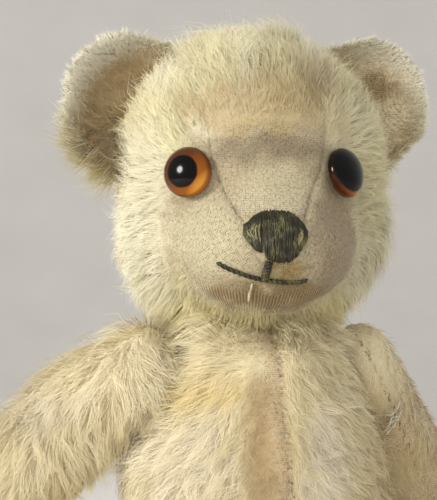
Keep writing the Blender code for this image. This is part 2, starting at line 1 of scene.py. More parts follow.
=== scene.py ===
# %% [markdown]
# # Dressing an old jointed mohair bear
#
# The imported parts are the bear's cloth panels, stuffing, joints, eyes and stitches as plain
# solids. This lesson dresses them: worn cloth skins, combed pile, glass eyes and thread.
# We load the parts first. The coat may stand only a little outside it.

# %% Load the parts
import json
import math

import bmesh
import bpy
import numpy as np
from mathutils import Matrix, Vector
from mathutils.bvhtree import BVHTree
from mathutils.kdtree import KDTree

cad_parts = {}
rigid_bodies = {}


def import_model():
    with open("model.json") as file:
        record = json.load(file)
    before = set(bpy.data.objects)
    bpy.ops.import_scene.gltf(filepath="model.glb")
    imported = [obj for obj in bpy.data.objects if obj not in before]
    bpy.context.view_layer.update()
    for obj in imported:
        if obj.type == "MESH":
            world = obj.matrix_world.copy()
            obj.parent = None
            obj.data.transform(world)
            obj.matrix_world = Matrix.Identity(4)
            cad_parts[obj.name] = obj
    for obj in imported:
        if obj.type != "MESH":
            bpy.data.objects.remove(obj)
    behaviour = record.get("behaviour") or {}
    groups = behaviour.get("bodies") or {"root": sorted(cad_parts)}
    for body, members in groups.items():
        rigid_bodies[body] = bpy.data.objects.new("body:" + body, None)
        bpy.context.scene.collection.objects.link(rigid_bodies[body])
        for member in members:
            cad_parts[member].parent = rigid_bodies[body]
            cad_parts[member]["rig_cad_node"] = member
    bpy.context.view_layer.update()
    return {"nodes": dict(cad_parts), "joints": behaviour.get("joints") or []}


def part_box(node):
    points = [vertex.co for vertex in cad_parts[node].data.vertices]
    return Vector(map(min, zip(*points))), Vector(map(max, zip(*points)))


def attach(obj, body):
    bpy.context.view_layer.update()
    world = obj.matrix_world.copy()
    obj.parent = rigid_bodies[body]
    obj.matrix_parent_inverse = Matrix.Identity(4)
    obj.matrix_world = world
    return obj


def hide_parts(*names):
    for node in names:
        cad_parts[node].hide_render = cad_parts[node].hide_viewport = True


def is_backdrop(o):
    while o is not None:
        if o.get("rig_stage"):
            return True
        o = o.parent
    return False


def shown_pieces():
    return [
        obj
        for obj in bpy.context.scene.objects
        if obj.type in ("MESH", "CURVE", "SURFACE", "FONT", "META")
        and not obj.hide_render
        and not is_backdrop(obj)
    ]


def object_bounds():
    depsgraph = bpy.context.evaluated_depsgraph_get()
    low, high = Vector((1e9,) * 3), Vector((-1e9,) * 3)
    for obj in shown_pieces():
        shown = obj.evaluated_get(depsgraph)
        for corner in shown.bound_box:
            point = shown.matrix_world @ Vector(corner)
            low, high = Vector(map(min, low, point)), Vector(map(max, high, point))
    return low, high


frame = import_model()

nodes = frame["nodes"]

# %% [markdown]
# ## Camera
#
# The bear is seen from a little to its right, with the camera level with its face. The frame
# is upright, so the long side of the sensor is its height. A wide lens close up would swell
# the nose, so we stand back and use a long one, which gives the flat look of a portrait.

# %% The camera
VIEW_TURN = math.radians(-17)
VIEW_DISTANCE, VIEW_HEIGHT = 0.80, 0.153
view_right = Vector((math.cos(VIEW_TURN), math.sin(VIEW_TURN), 0))
view_back = Vector((math.sin(VIEW_TURN), -math.cos(VIEW_TURN), 0))
view_middle = view_right * -0.0098 + Vector((0, 0, 0.1721))

bpy.ops.object.select_all(action="DESELECT")
bpy.ops.object.camera_add(location=view_middle + view_back * VIEW_DISTANCE)
camera = bpy.context.object
camera.rotation_euler = (math.pi / 2, 0, VIEW_TURN)
camera.data.sensor_width = 36
camera.data.lens = 36 * VIEW_DISTANCE / VIEW_HEIGHT
bpy.context.scene.camera = camera
bpy.context.scene.view_settings.view_transform = "Standard"
print("lens:", round(camera.data.lens), "mm")

# %% [markdown]
# ## Tools for materials
#
# Cloth, felt, pile, thread and glass all get their colour from shader nodes. The same few
# steps come back in each: noise, a sum, a colour ramp, two colours multiplied, and a bump.
# Small helpers for them keep each material short enough to read as a recipe.


# %% A node and its links
def add_node(tree, kind, inputs, **settings):
    """One shader node. Its inputs are given values, or outputs of other nodes to link."""
    made = tree.nodes.new("ShaderNode" + kind)
    for key, value in settings.items():
        setattr(made, key, value)
    for key, value in inputs.items():
        if isinstance(value, bpy.types.NodeSocket):
            tree.links.new(value, made.inputs[key])
        else:
            made.inputs[key].default_value = value
    return made


def new_material(name, roughness):
    """A node material, and its tree and Principled shader."""
    material = bpy.data.materials.new(name)
    material.use_nodes = True
    shader = material.node_tree.nodes["Principled BSDF"]
    shader.inputs["Roughness"].default_value = roughness
    return material, material.node_tree, shader


# %% Places and patterns
def object_place(tree):
    """Object coordinates in metres, which move with a piece."""
    return add_node(tree, "TexCoord", {}).outputs["Object"]


def read(tree, title, output="Fac"):
    """An attribute that was written on a piece's own vertices."""
    return add_node(tree, "Attribute", {}, attribute_name=title).outputs[output]


def noise(tree, place, scale, detail, roughness=0.5):
    """A noise texture's value."""
    inputs = {"Vector": place, "Scale": scale, "Detail": detail, "Roughness": roughness}
    return add_node(tree, "TexNoise", inputs).outputs["Fac"]


# %% Sums, colours and bumps
def worked(tree, operation, *values):
    """The result of a Math node."""
    return add_node(tree, "Math", dict(enumerate(values)), operation=operation).outputs[0]


def vector_worked(tree, operation, *values, output="Vector"):
    """The result of a Vector Math node."""
    return add_node(tree, "VectorMath", dict(enumerate(values)), operation=operation).outputs[output]


def ranged(tree, value, low, high):
    """A value from 0 to 1 spread from low to high."""
    return add_node(tree, "MapRange", {"Value": value, "To Min": low, "To Max": high}).outputs[0]


def colour_ramp(tree, factor, stops):
    """A colour ramp with stops of (place, colour)."""
    ramp = add_node(tree, "ValToRGB", {"Fac": factor})
    elements = ramp.color_ramp.elements
    while len(elements) < len(stops):
        elements.new(0.5)
    for element, (place, colour) in zip(elements, stops):
        element.position = place
        element.color = (*colour, 1)
    return ramp.outputs["Color"]


def multiplied(tree, first, second):
    """Two colours multiplied, as when a stain lies over a dye."""
    mix = tree.nodes.new("ShaderNodeMix")
    mix.data_type, mix.blend_type = "RGBA", "MULTIPLY"
    mix.inputs[0].default_value = 1.0
    tree.links.new(first, mix.inputs[6])
    tree.links.new(second, mix.inputs[7])
    return mix.outputs[2]


def give_bump(tree, shader, height, strength, distance):
    """Small relief on a shader, from a height."""
    bump = add_node(tree, "Bump", {"Height": height, "Strength": strength, "Distance": distance})
    tree.links.new(bump.outputs["Normal"], shader.inputs["Normal"])


# %% [markdown]
# ## Floor and backdrop
#
# In a studio a sheet of paper lies under a toy and curves up behind it, so that no corner
# shows. We make it as by hand: a plane, its back edge extruded up, and a bevel on the fold.

# %% The floor and the backdrop
bpy.ops.mesh.primitive_plane_add(size=3, location=(0, 0.6, 0))
floor = bpy.context.object
floor.name = "floor"
bpy.ops.object.mode_set(mode="EDIT")
bpy.ops.mesh.select_all(action="DESELECT")
shape = bmesh.from_edit_mesh(floor.data)
for edge in shape.edges:
    edge.select = all(vertex.co.y > 0 for vertex in edge.verts)
bmesh.update_edit_mesh(floor.data)
bpy.ops.mesh.extrude_region_move(TRANSFORM_OT_translate={"value": (0, 0, 2.4)})
bpy.ops.object.mode_set(mode="OBJECT")
fold = floor.modifiers.new("fold", "BEVEL")
fold.width = 0.8
fold.segments = 16
bpy.ops.object.modifier_apply(modifier="fold")
bpy.ops.object.transform_apply(location=True)
bpy.ops.object.shade_smooth()
floor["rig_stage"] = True

paper, tree, shader = new_material("pale_floor", 0.95)
speckle = noise(tree, object_place(tree), 12.0, 4.0)
tree.links.new(
    colour_ramp(tree, speckle, [(0.3, (0.74, 0.72, 0.69)), (0.7, (0.78, 0.76, 0.73))]),
    shader.inputs["Base Color"],
)
floor.data.materials.append(paper)
print("floor faces:", len(floor.data.polygons))

# %% [markdown]
# ## Light
#
# The main light comes from a window on the bear's right, somewhat higher than its head, so
# the fur on that side is bright and the far cheek is in soft shade. A wide lamp in front
# and the world fill the shadows, and a weak one behind lifts the crown. Only the window
# shows in the glass eyes, because the other lamps would lie on them as grey discs.

# %% The lamps and the world
world = bpy.data.worlds.new("studio")
bpy.context.scene.world = world
world.use_nodes = True
world.node_tree.nodes["Background"].inputs["Color"].default_value = (1.0, 0.98, 0.95, 1)
world.node_tree.nodes["Background"].inputs["Strength"].default_value = 0.56
chest_middle = Vector((0, 0, 0.14))

for name, place, size, power, warmth in (
    ("window_lamp", (-1.28, -0.40, 0.58), 0.40, 13.5, (1.0, 0.98, 0.93)),
    ("front_lamp", (-0.35, -1.30, 0.80), 2.40, 11.0, (1.0, 0.98, 0.95)),
    ("back_lamp", (0.5, 0.9, 0.8), 0.6, 3.0, (1.0, 0.98, 0.95)),
):
    bpy.ops.object.light_add(type="AREA", location=place)
    lamp = bpy.context.object
    lamp.name = name
    lamp.data.shape = "DISK"
    lamp.data.size = size
    lamp.data.energy = power
    lamp.data.color = warmth
    lamp.visible_glossy = name == "window_lamp"
    lamp.rotation_euler = (chest_middle - Vector(place)).to_track_quat("-Z", "Y").to_euler()
    print(name, power, "W")

# %% [markdown]
# ## The skins
#
# Each part of the bear is a bag of cloth, stuffed hard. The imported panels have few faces, so
# each bag is made again from them: copies of the panels are joined, a ball plugs the hole of
# the joint's pin, and a Remesh modifier wraps the lot in small even faces. That leaves walls
# inside too, so the loose shells are split apart and only the outer one is kept.


# %% Wrap panels in a skin
def skin_of(name, body, node_names, plugs, voxel, smoothing):
    """One closed skin around CAD nodes, riding on their body."""
    bpy.ops.object.select_all(action="DESELECT")
    copies = []
    for node_name in node_names:
        copy = bpy.data.objects.new(name, nodes[node_name].data.copy())
        bpy.context.scene.collection.objects.link(copy)
        copies.append(copy)
        copy.select_set(True)
    bpy.context.view_layer.objects.active = copies[0]
    bpy.ops.object.join()
    bpy.ops.object.mode_set(mode="EDIT")
    bpy.ops.mesh.select_all(action="SELECT")
    bpy.ops.mesh.remove_doubles(threshold=0.00002)
    for place, radius in plugs:
        bpy.ops.mesh.primitive_uv_sphere_add(segments=12, ring_count=8, radius=radius, location=place)
    bpy.ops.object.mode_set(mode="OBJECT")
    wrap = copies[0].modifiers.new("wrap", "REMESH")
    wrap.mode = "VOXEL"
    wrap.voxel_size = voxel
    bpy.ops.object.modifier_apply(modifier="wrap")
    skin = outer_shell()
    even = skin.modifiers.new("even", "SMOOTH")
    even.factor = 0.5
    even.iterations = smoothing
    bpy.ops.object.modifier_apply(modifier="even")
    skin.data.materials.clear()
    skin.data.shade_smooth()
    skin.name = skin.data.name = name
    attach(skin, body)
    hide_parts(*node_names)
    print(name, len(skin.data.polygons), "faces")
    return skin


def outer_shell():
    """Split the active piece into its loose shells, and keep the largest."""
    bpy.ops.object.mode_set(mode="EDIT")
    bpy.ops.mesh.select_all(action="SELECT")
    bpy.ops.mesh.separate(type="LOOSE")
    bpy.ops.object.mode_set(mode="OBJECT")
    shells = sorted(bpy.context.selected_objects, key=lambda shell: shell.dimensions.length)
    largest = shells.pop()
    for shell in shells:
        bpy.data.objects.remove(shell)
    bpy.context.view_layer.objects.active = largest
    return largest


# %% [markdown]
# ### Head and torso
#
# The head is the firmest bag and carries the face, so its skin has the finest faces. It has
# more holes than the others: the neck's pin, the two eye sockets, and the fine tip of the
# gusset under the nose, where a small ball keeps the wrap from leaving a slit.

# %% The head and the torso
PIN_PLUG = 0.004
joints = {joint["name"]: Vector(joint["pos_m"]) for joint in frame["joints"]}
eyes = {hand: sum(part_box(f"eye_{hand}"), Vector()) / 2 for hand in ("left", "right")}
eye_backs = [(eyes[hand] + Vector((0, 0.006, 0)), 0.0045) for hand in eyes]

gusset_points = [vertex.co for vertex in nodes["head_gusset"].data.vertices]
gusset_tip = min(gusset_points, key=lambda point: point.z - (1 if point.y < -0.02 else 0))
tip_plug = [(gusset_tip + Vector((0, 0.0030, -0.0006)), 0.0032)]

head = skin_of(
    "head_skin", "head",
    ["head_gusset", "head_side_left", "head_side_right", "head_stuffing"],
    [(joints["neck"] + Vector((0, 0, 0.002)), PIN_PLUG)] + eye_backs + tip_plug, 0.00125, 9,
)
torso = skin_of(
    "torso_skin", "torso", ["torso_left", "torso_right", "torso_stuffing"],
    [(place, PIN_PLUG) for place in joints.values()], 0.0018, 6,
)

# %% [markdown]
# ### Arms and legs
#
# An arm or a leg is an inner and an outer panel with a hole only where its pin goes through.
# The four differ in shape but not in making, so one loop wraps them all.

# %% The limbs
limbs = {}
for limb, joint in (("arm", "shoulder"), ("leg", "hip")):
    for hand in ("left", "right"):
        part = f"{limb}_{hand}"
        limbs[part] = skin_of(
            f"{part}_skin", part, [f"{part}_outer", f"{part}_inner", f"{part}_stuffing"],
            [(joints[f"{joint}_{hand}"], PIN_PLUG)], 0.0020, 5,
        )

# %% [markdown]
# ### Ears and pads
#
# The ears are two thin layers of cloth with nothing between them, so they need small voxels
# but no filling. The pads are felt, cut to the ends of the paws and feet.

# %% The ears and the pads
ears = {
    hand: skin_of(f"ear_{hand}", "head", [f"ear_{hand}_front", f"ear_{hand}_back"], [], 0.0010, 6)
    for hand in ("left", "right")
}
pads = {}
for pad, limb in (("paw_pad", "arm"), ("foot_pad", "leg")):
    for hand in ("left", "right"):
        part = f"{pad}_{hand}"
        pads[part] = skin_of(f"{part}_felt", f"{limb}_{hand}", [part], [], 0.0013, 4)


# %% [markdown]
# ## Fields on the skins
#
# Wear, pile and stains all depend on where a point lies, and there are tens of thousands of
# points, so we work on whole arrays of them. Smooth noise made of a few sine waves bends and
# blots every edge, so that nothing looks drawn with a compass.


# %% Arrays in and out of a mesh
def points_of(mesh):
    """A mesh's vertices as an array."""
    flat = np.empty(len(mesh.vertices) * 3)
    mesh.vertices.foreach_get("co", flat)
    return flat.reshape(-1, 3)


def normals_of(mesh):
    """A mesh's vertex normals as an array."""
    flat = np.empty(len(mesh.vertices) * 3)
    mesh.vertex_normals.foreach_get("vector", flat)
    return flat.reshape(-1, 3)


def move_points(mesh, points):
    """Give a mesh's vertices new places."""
    mesh.vertices.foreach_set("co", points.ravel())
    mesh.update()


def write_share(mesh, title, values):
    """Write a number on each vertex, for the materials to read."""
    mesh.attributes.new(title, "FLOAT", "POINT").data.foreach_set("value", values)


def write_vectors(mesh, title, values):
    """Write three numbers on each vertex."""
    mesh.attributes.new(title, "FLOAT_VECTOR", "POINT").data.foreach_set("vector", values.ravel())


def write_colours(mesh, title, colours):
    """Write a colour on each vertex."""
    solid = np.concatenate([colours, np.ones((len(colours), 1))], axis=1)
    mesh.attributes.new(title, "FLOAT_COLOR", "POINT").data.foreach_set("color", solid.ravel())


# %% Noise, patches and soft edges
def waves(points, size, seed):
    """Smooth noise from about -1 to 1, with lumps of the given size in metres."""
    random = np.random.default_rng(seed)
    total = np.zeros(len(points))
    for _ in range(7):
        way = random.normal(size=3)
        way *= 2 * math.pi / (size * random.uniform(1.2, 2.6) * np.linalg.norm(way))
        total += np.sin(points @ way + random.uniform(0, 2 * math.pi))
    return total / 3.2


def spot(first, second, middle, half, power=2.0):
    """1 in the middle of an oval patch, 0 at its edge, below 0 outside."""
    return 1 - (
        np.abs((first - middle[0]) / half[0]) ** power + np.abs((second - middle[1]) / half[1]) ** power
    )


def soft(value, low, high):
    """0 below low and 1 above high, with a soft step between."""
    share = np.clip((value - low) / (high - low), 0, 1)
    return share * share * (3 - 2 * share)


# %% [markdown]
# ### Where things lie on the head
#
# The head is a ball turned a little on its neck. Its marks are easiest to place as on a
# globe: how many degrees round from straight ahead, and how many up. The head's turn is
# taken off first, so that both sides of the face read alike.

# %% Points in the head's own directions
HEAD_TURN = math.radians(-9)
head_middle = joints["neck"] + Vector((0, 0, 0.038))
unturn = np.array(Matrix.Rotation(-HEAD_TURN, 3, "Z"))


def head_place(points):
    """Points from the head's middle, with the head's turn taken off."""
    return (points - np.array(head_middle)) @ unturn.T + np.array((0, 0.006, 0))


def head_angles(points):
    """Degrees round from straight ahead, to the bear's left, and degrees up."""
    place = head_place(points)
    reach = np.linalg.norm(place, axis=1)
    return (
        np.degrees(np.arctan2(place[:, 0], -place[:, 1])),
        np.degrees(np.arcsin(place[:, 2] / reach)),
    )


# %% [markdown]
# ### Where the pile is worn, and the ear's shaded fold
#
# Years of petting took the pile off the muzzle and the brow. Above the brow it is short and
# brown. The hollow in the fold of the left ear gets painted shade, dark brown. Each of these
# is a patch with a ragged edge, given as a share from 0 to 1 that colours, lengths and densities all use.


# %% Worn patches
def bald_share(points):
    """1 where the face is worn down to its backing, 0 in full pile."""
    turn, rise = head_angles(points)
    ragged = 0.22 * waves(points, 0.007, 3) + 0.14 * waves(points, 0.0025, 4)
    face = spot(turn, rise, (1, -12), (59, 46), 2.4)
    brow = spot(turn, rise + 0.004 * turn ** 2, (0, 23), (54, 15))
    return soft(np.maximum(face, brow) + ragged, -0.45, 0.35)


def brow_share(points):
    """1 on the short brown pile over the brow."""
    turn, rise = head_angles(points)
    ragged = 0.30 * waves(points, 0.009, 40) + 0.15 * waves(points, 0.004, 48)
    return soft(spot(turn, rise + 0.003 * turn ** 2, (0, 46), (58, 20)) + ragged, -0.1, 0.7)


def ear_fold_shade(points):
    """1 in the hollow at the foot of the left ear's cup, where shade is painted."""
    across = points @ np.array(view_right)
    ragged = 0.3 * waves(points, 0.004, 49)
    return soft(spot(across, points[:, 2], (0.0385, 0.2225), (0.0090, 0.0065)) + ragged, 0.0, 0.8)


# %% [markdown]
# ## Seams
#
# The gusset over the head and the two sides meet in seams that run from the nose over the
# brow. How far a point lies from the gusset's panel, less how far from the side panels, is
# zero on the seam, and that is all that a groove needs: the skin's vertices there are pressed
# in a little. The same works for the torso's two halves and for the limbs.


# %% Press the seams in
def reach_to(points, node_names):
    """How far points are from some CAD panels."""
    corners, faces = [], []
    for node_name in node_names:
        mesh = nodes[node_name].data
        faces += [[len(corners) + i for i in polygon.vertices] for polygon in mesh.polygons]
        corners += [vertex.co.copy() for vertex in mesh.vertices]
    panel = BVHTree.FromPolygons(corners, faces)
    return np.array([panel.find_nearest(Vector(point))[3] for point in points])


def press_seam(skin, first, second, depth, width, lumps, fade=None):
    """A groove where two sets of panels meet, and a little uneven stuffing."""
    points, normals = points_of(skin.data), normals_of(skin.data)
    across = reach_to(points, first) - reach_to(points, second)
    groove = np.exp(-((across / width) ** 2))
    if fade is not None:
        groove *= fade(points)
    points += normals * (lumps * waves(points, 0.011, 8) - depth * groove)[:, None]
    points[:, 2] = np.maximum(points[:, 2], 0.0003)
    move_points(skin.data, points)
    write_share(skin.data, "seam", groove)
    return across


head_across = press_seam(
    head, ["head_gusset"], ["head_side_left", "head_side_right"], 0.0006, 0.0009, 0.00025,
    lambda points: soft(head_angles(points)[1], -20, -10),
)
press_seam(torso, ["torso_left"], ["torso_right"], 0.0008, 0.0016, 0.0006)
for limb in limbs:
    press_seam(limbs[limb], [f"{limb}_outer"], [f"{limb}_inner"], 0.0004, 0.0016, 0.0005)
print("seams pressed:", 2 + len(limbs))

# %% [markdown]
# ### Slack shoulders
#
# Stuffing settles with age, and the tops of both arms have sunk. The skin there is pushed in
# along its normals by a soft dent, deepest in its middle, like a thumb on a cushion.

# %% Let the shoulders sink
for arm, across, height, depth in (
    ("arm_left", 0.050, 0.138, 0.0042),
    ("arm_right", -0.047, 0.152, 0.0036),
):
    cloth = limbs[arm].data
    points = points_of(cloth)
    aside, above = points @ np.array(view_right) - across, points[:, 2] - height
    slack = depth * np.exp(-((aside / 0.014) ** 2 + (above / 0.018) ** 2))
    move_points(cloth, points - normals_of(cloth) * slack[:, None])
    print(arm, "sinks", round(slack.max() * 1000, 1), "mm")

# %% [markdown]
# ## Colours of the pile
#
# The mohair was once golden. It is now cream, with paler and more golden clouds, tan on the
# brow, and pinker on the body than on the head. Where shade falls round the neck, on the
# shoulders and at the left temple, a bright cream is painted on as painted light. A few named
# colours are laid over each other in soft patches.

# %% The named colours
CREAM, PALE, GOLD = (0.84, 0.78, 0.51), (0.93, 0.89, 0.72), (0.88, 0.76, 0.39)
# PAINTED_LIGHT_CREAM is painted light, laid over the shade on the ruff, the shoulders and the left temple.
PAINTED_LIGHT_CREAM, SILVER = (0.98, 0.93, 0.66), (0.86, 0.83, 0.74)
TAN, BROWN = (0.60, 0.46, 0.25), (0.42, 0.29, 0.14)
WARM = np.array((1.0, 0.955, 0.95))


def blend_tints(base, patches):
    """A colour at each point: a base with patches of (share, colour) laid over it."""
    colour = np.broadcast_to(np.array(base, float), (len(patches[0][0]), 3)).copy()
    for share, tint in patches:
        colour += (np.array(tint) - colour) * np.clip(share, 0, 1)[:, None]
    return colour


# %% The head's pile
def head_pile_colour(points):
    """Cream, tan on the brow, pale on the right cheek, and painted light at the shaded left temple."""
    turn, rise = head_angles(points)
    behind = soft(head_place(points)[:, 1], -0.005, 0.025)[:, None]
    right_cheek = soft(spot(turn, rise, (-74, -8), (30, 52)), 0.0, 0.8)
    # The left temple lies in shade; painted light brightens it.
    painted_light_temple = soft(spot(turn, rise, (48, 26), (20, 24)), 0.0, 0.8)
    high_stain = spot(turn, rise, (44, 52), (20, 16)) + 0.3 * waves(points, 0.007, 45)
    return (1 - behind + behind * WARM) * blend_tints(CREAM, [
        (soft(waves(points, 0.012, 43), 0.0, 1.0) * 0.6, PALE),
        (soft(waves(points, 0.016, 44), 0.3, 1.2) * 0.4, GOLD),
        (soft(waves(points, 0.007, 47), 0.1, 1.1) * 0.35 * soft(rise, 5, 40), TAN),
        (right_cheek * 0.7, PALE),
        (painted_light_temple * 0.8, PAINTED_LIGHT_CREAM),
        (brow_share(points) * 0.75, TAN),
        (soft(high_stain, 0.0, 0.9) * 0.4, BROWN),
        (soft(rise, -42, -56) * 0.5, GOLD),
    ])


# %% The torso's pile
def torso_pile_colour(points):
    """Golden on the right of the chest, pale below it, tan beside the bare strip, and painted light on the
    ruff in the head's shadow.
    """
    x, z = points[:, 0], points[:, 2]
    front = soft(-points[:, 1], -0.005, 0.015)
    swirl = spot(x, z, (-0.022, 0.136), (0.017, 0.010)) + 0.3 * waves(points, 0.008, 66)
    locks = spot(x, z, (-0.026, 0.110), (0.016, 0.018)) + 0.2 * waves(points, 0.008, 67)
    worn = spot(x, z, (-0.006, 0.108), (0.008, 0.040))
    left_locks = spot(x, z, (0.011, 0.106), (0.008, 0.030)) + 0.2 * waves(points, 0.008, 68)
    return WARM * blend_tints(CREAM, [
        (soft(waves(points, 0.010, 64), 0.0, 1.0) * 0.5, PALE),
        (soft(waves(points, 0.014, 65), 0.2, 1.1) * 0.4, GOLD),
        (front * soft(swirl, 0.0, 0.6) * 0.8, GOLD),
        (front * soft(locks, 0.0, 0.8) * 0.6, PALE),
        (front * soft(worn, 0.0, 0.7) * 0.9, TAN),
        (front * soft(left_locks, 0.0, 0.8) * 0.8, PALE),
        (front * soft(x, 0.020, 0.030) * soft(-z, -0.125, -0.110) * 0.35, TAN),
        # Painted light: the ruff in the head's shadow is painted bright cream.
        (soft(z, 0.130, 0.140) * (0.9 - 0.3 * soft(waves(points, 0.008, 69), 0.0, 1.0)), PAINTED_LIGHT_CREAM),
    ])


# %% The limbs' pile
def limb_pile_colour(points, thin):
    """Cream on the arm that has its pile, beige where it has thinned, with painted light on the upper arm
    and the shoulder.
    """
    # The upper arm is painted paler and less tan, as painted light over the shade there.
    high = soft(points[:, 2], 0.105, 0.135)
    pale = soft(waves(points, 0.011, 83), -0.2, 1.0) * 0.5 + 0.4 * high
    # Painted light: the shade on the shoulder is painted over with bright cream.
    shoulder = soft(points[:, 2], 0.124, 0.140)
    return WARM * blend_tints(CREAM, [
        (soft(waves(points, 0.015, 84), 0.1, 1.1) * 0.5, GOLD),
        (soft(waves(points, 0.010, 85), 0.3, 1.2) * 0.4 * (1 - high) + 0.35 * thin, TAN),
        (pale * (1 - thin), PALE),
        (shoulder * (0.9 - 0.4 * soft(waves(points, 0.009, 86), -0.3, 0.8)), PAINTED_LIGHT_CREAM),
    ])


# %% [markdown]
# ## The worn cloth
#
# Where the pile has gone, the cotton backing shows: a plain weave of about 0.6 mm, with rows
# of stubble that stand in little dots. Its coordinates follow the surface. They are written
# on the skin as an attribute, one thread to a unit, and the side panels were cut at a slant,
# so their weave is turned against the gusset's.

# %% The weave of the head
THREAD_PITCH = 0.00062
HEAD_RADIUS = 0.040
CUT_SLANT = 0.62

head_points = points_of(head.data)
turn, rise = (np.radians(angle) for angle in head_angles(head_points))
slant = np.where(head_across > 0, CUT_SLANT, 0.0) * np.sign(turn)
round_way, up_way = turn * HEAD_RADIUS * np.cos(rise * 0.6), rise * HEAD_RADIUS
flat = np.zeros(len(head_points))
weave = np.stack([
    round_way * np.cos(slant) - up_way * np.sin(slant),
    round_way * np.sin(slant) + up_way * np.cos(slant),
    flat,
], axis=1) / THREAD_PITCH
write_vectors(head.data, "weave", weave)
write_vectors(head.data, "upright", np.stack([round_way, up_way, flat], axis=1) / THREAD_PITCH)
print("threads round the head:", round(2 * math.pi * HEAD_RADIUS / THREAD_PITCH))

# %% [markdown]
# ### Stains, tones and painted shade on the face
#
# The bare cloth isn't one colour. It is lighter on the bridge of the nose and the right cheek,
# darker in a band over the eyes and under the mouth, and brown from a spill between the nose
# and the mouth. The dark patch on the left cheek is painted shade, on the side away from the window.

# %% The face's cloth
turn, rise = np.degrees(turn), np.degrees(rise)
arch = rise + 0.004 * turn ** 2
head_cloth = blend_tints((0.46, 0.39, 0.26), [
    (soft(patch + ragged * waves(head_points, size, seed), 0.0, full) * strength, colour)
    for patch, ragged, size, seed, full, strength, colour in (
        (spot(turn, rise, (6, 3), (30, 15)), 0.2, 0.006, 20, 0.6, 0.8, (0.60, 0.54, 0.37)),
        (spot(turn, rise, (-32, -18), (24, 22)), 0.2, 0.005, 21, 0.8, 0.8, (0.55, 0.50, 0.34)),
        (spot(turn, arch, (2, 25), (50, 9)), 0.3, 0.005, 22, 1.0, 0.85, (0.25, 0.20, 0.13)),
        (spot(turn, arch, (2, 38), (44, 8)), 0.4, 0.005, 23, 0.9, 0.6, (0.45, 0.34, 0.17)),
        # painted shade on the left cheek, away from the window
        (spot(turn, rise, (38, -20), (22, 34)), 0.2, 0.006, 24, 0.8, 0.75, (0.30, 0.23, 0.15)),
        (spot(turn, rise, (4, -29), (11, 5)), 0.4, 0.003, 25, 1.0, 0.8, (0.36, 0.24, 0.08)),
        (spot(turn, rise, (2, -45), (46, 14)), 0.4, 0.004, 26, 0.9, 0.9, (0.27, 0.19, 0.08)),
    )
])

# %% [markdown]
# ### Undercoat
#
# Between the strands of pile the skin shows through. If it were dark, the coat would look
# thin and full of holes. So under full pile the skin has the pile's own colour, darkened a
# little as painted shade under the strands, and turns to bare cloth only where the pile has gone.

# %% Tint the head
UNDERCOAT_SHADE = 0.86


def write_tint(skin, pile, cloth, bare):
    """Colour a skin between its pile's undercoat, with its painted shade, and its bare cloth."""
    tint = pile * UNDERCOAT_SHADE
    tint += (cloth - tint) * bare[:, None]
    write_colours(skin.data, "tint", tint)
    write_share(skin.data, "bare", bare)


bald = bald_share(head_points)
write_tint(head, head_pile_colour(head_points), head_cloth, bald)
write_share(head.data, "ribs", bald * soft(rise, -36, -42))
print("bare share of the head:", round(float(bald.mean()), 2))

# %% [markdown]
# The rest of the bear has one cloth, with a stain here and there. The left arm has lost most
# of its pile and the right one little. On the ears the cloth is paler, because less dirt
# gets there. The right ear's cup is brown, partly its own colour and partly painted shade in the hollow.

# %% Tint the torso and the limbs
THINNED = {"arm_left": 0.8, "arm_right": 0.15, "leg_left": 0.4, "leg_right": 0.3}


def write_weave(skin, points):
    """A weave that runs straight over a skin."""
    weave = np.stack([points[:, 0] + points[:, 1], points[:, 2], points[:, 1]], axis=1)
    write_vectors(skin.data, "weave", weave / THREAD_PITCH)


def body_cloth(points):
    """The beige backing, with darker clouds."""
    return blend_tints((0.58, 0.46, 0.30), [
        (soft(waves(points, 0.016, 30), 0.1, 1.0) * 0.6, (0.40, 0.29, 0.17)),
    ])


points = points_of(torso.data)
strip = soft(-np.abs(points[:, 0] + 0.002), -0.0045, -0.001) * soft(-points[:, 1], 0.0, 0.02)
write_weave(torso, points)
write_tint(torso, torso_pile_colour(points), body_cloth(points), 0.8 * strip)
for limb, thin in THINNED.items():
    points = points_of(limbs[limb].data)
    bare = thin * soft(waves(points, 0.014, 80), -0.8, 0.8)
    write_weave(limbs[limb], points)
    write_tint(limbs[limb], limb_pile_colour(points, thin), body_cloth(points), bare)
    print(limb, "is", round(float(bare.mean()) * 100), "% bare")

# %% Tint the ears
for hand, bareness, cup_brown_and_shade in (("left", 0.85, 0.3), ("right", 0.35, 1.0)):
    points = points_of(ears[hand].data)
    cloth = blend_tints((0.72, 0.61, 0.43), [
        (soft(waves(points, 0.012, 31), 0.0, 1.0) * 0.6, (0.52, 0.41, 0.26)),
        # painted shade in the hollow of the left ear's fold
        (ear_fold_shade(points) * 0.9, (0.24, 0.15, 0.06)),
    ])
    # The brown in the cup is partly the fur's own colour and partly painted shade in the hollow.
    cup = soft(-normals_of(ears[hand].data)[:, 1], 0.0, 0.5)
    pile = blend_tints(CREAM, [(cup * cup_brown_and_shade, (0.46, 0.34, 0.18))])
    write_weave(ears[hand], points)
    write_tint(ears[hand], pile, cloth, np.full(len(points), bareness))


# %% [markdown]
# ## The cloth's material
#
# The pattern is built in steps. Two waves cross to make the lattice of the weave, cell noise
# gives the dots of cut pile, and fine noise the fluff. Under the chin the knit stands in
# upright ribs. A slight wobble of the coordinates keeps the threads from being ruled lines.
# All of it is faint under full pile and strong where the cloth is bare.


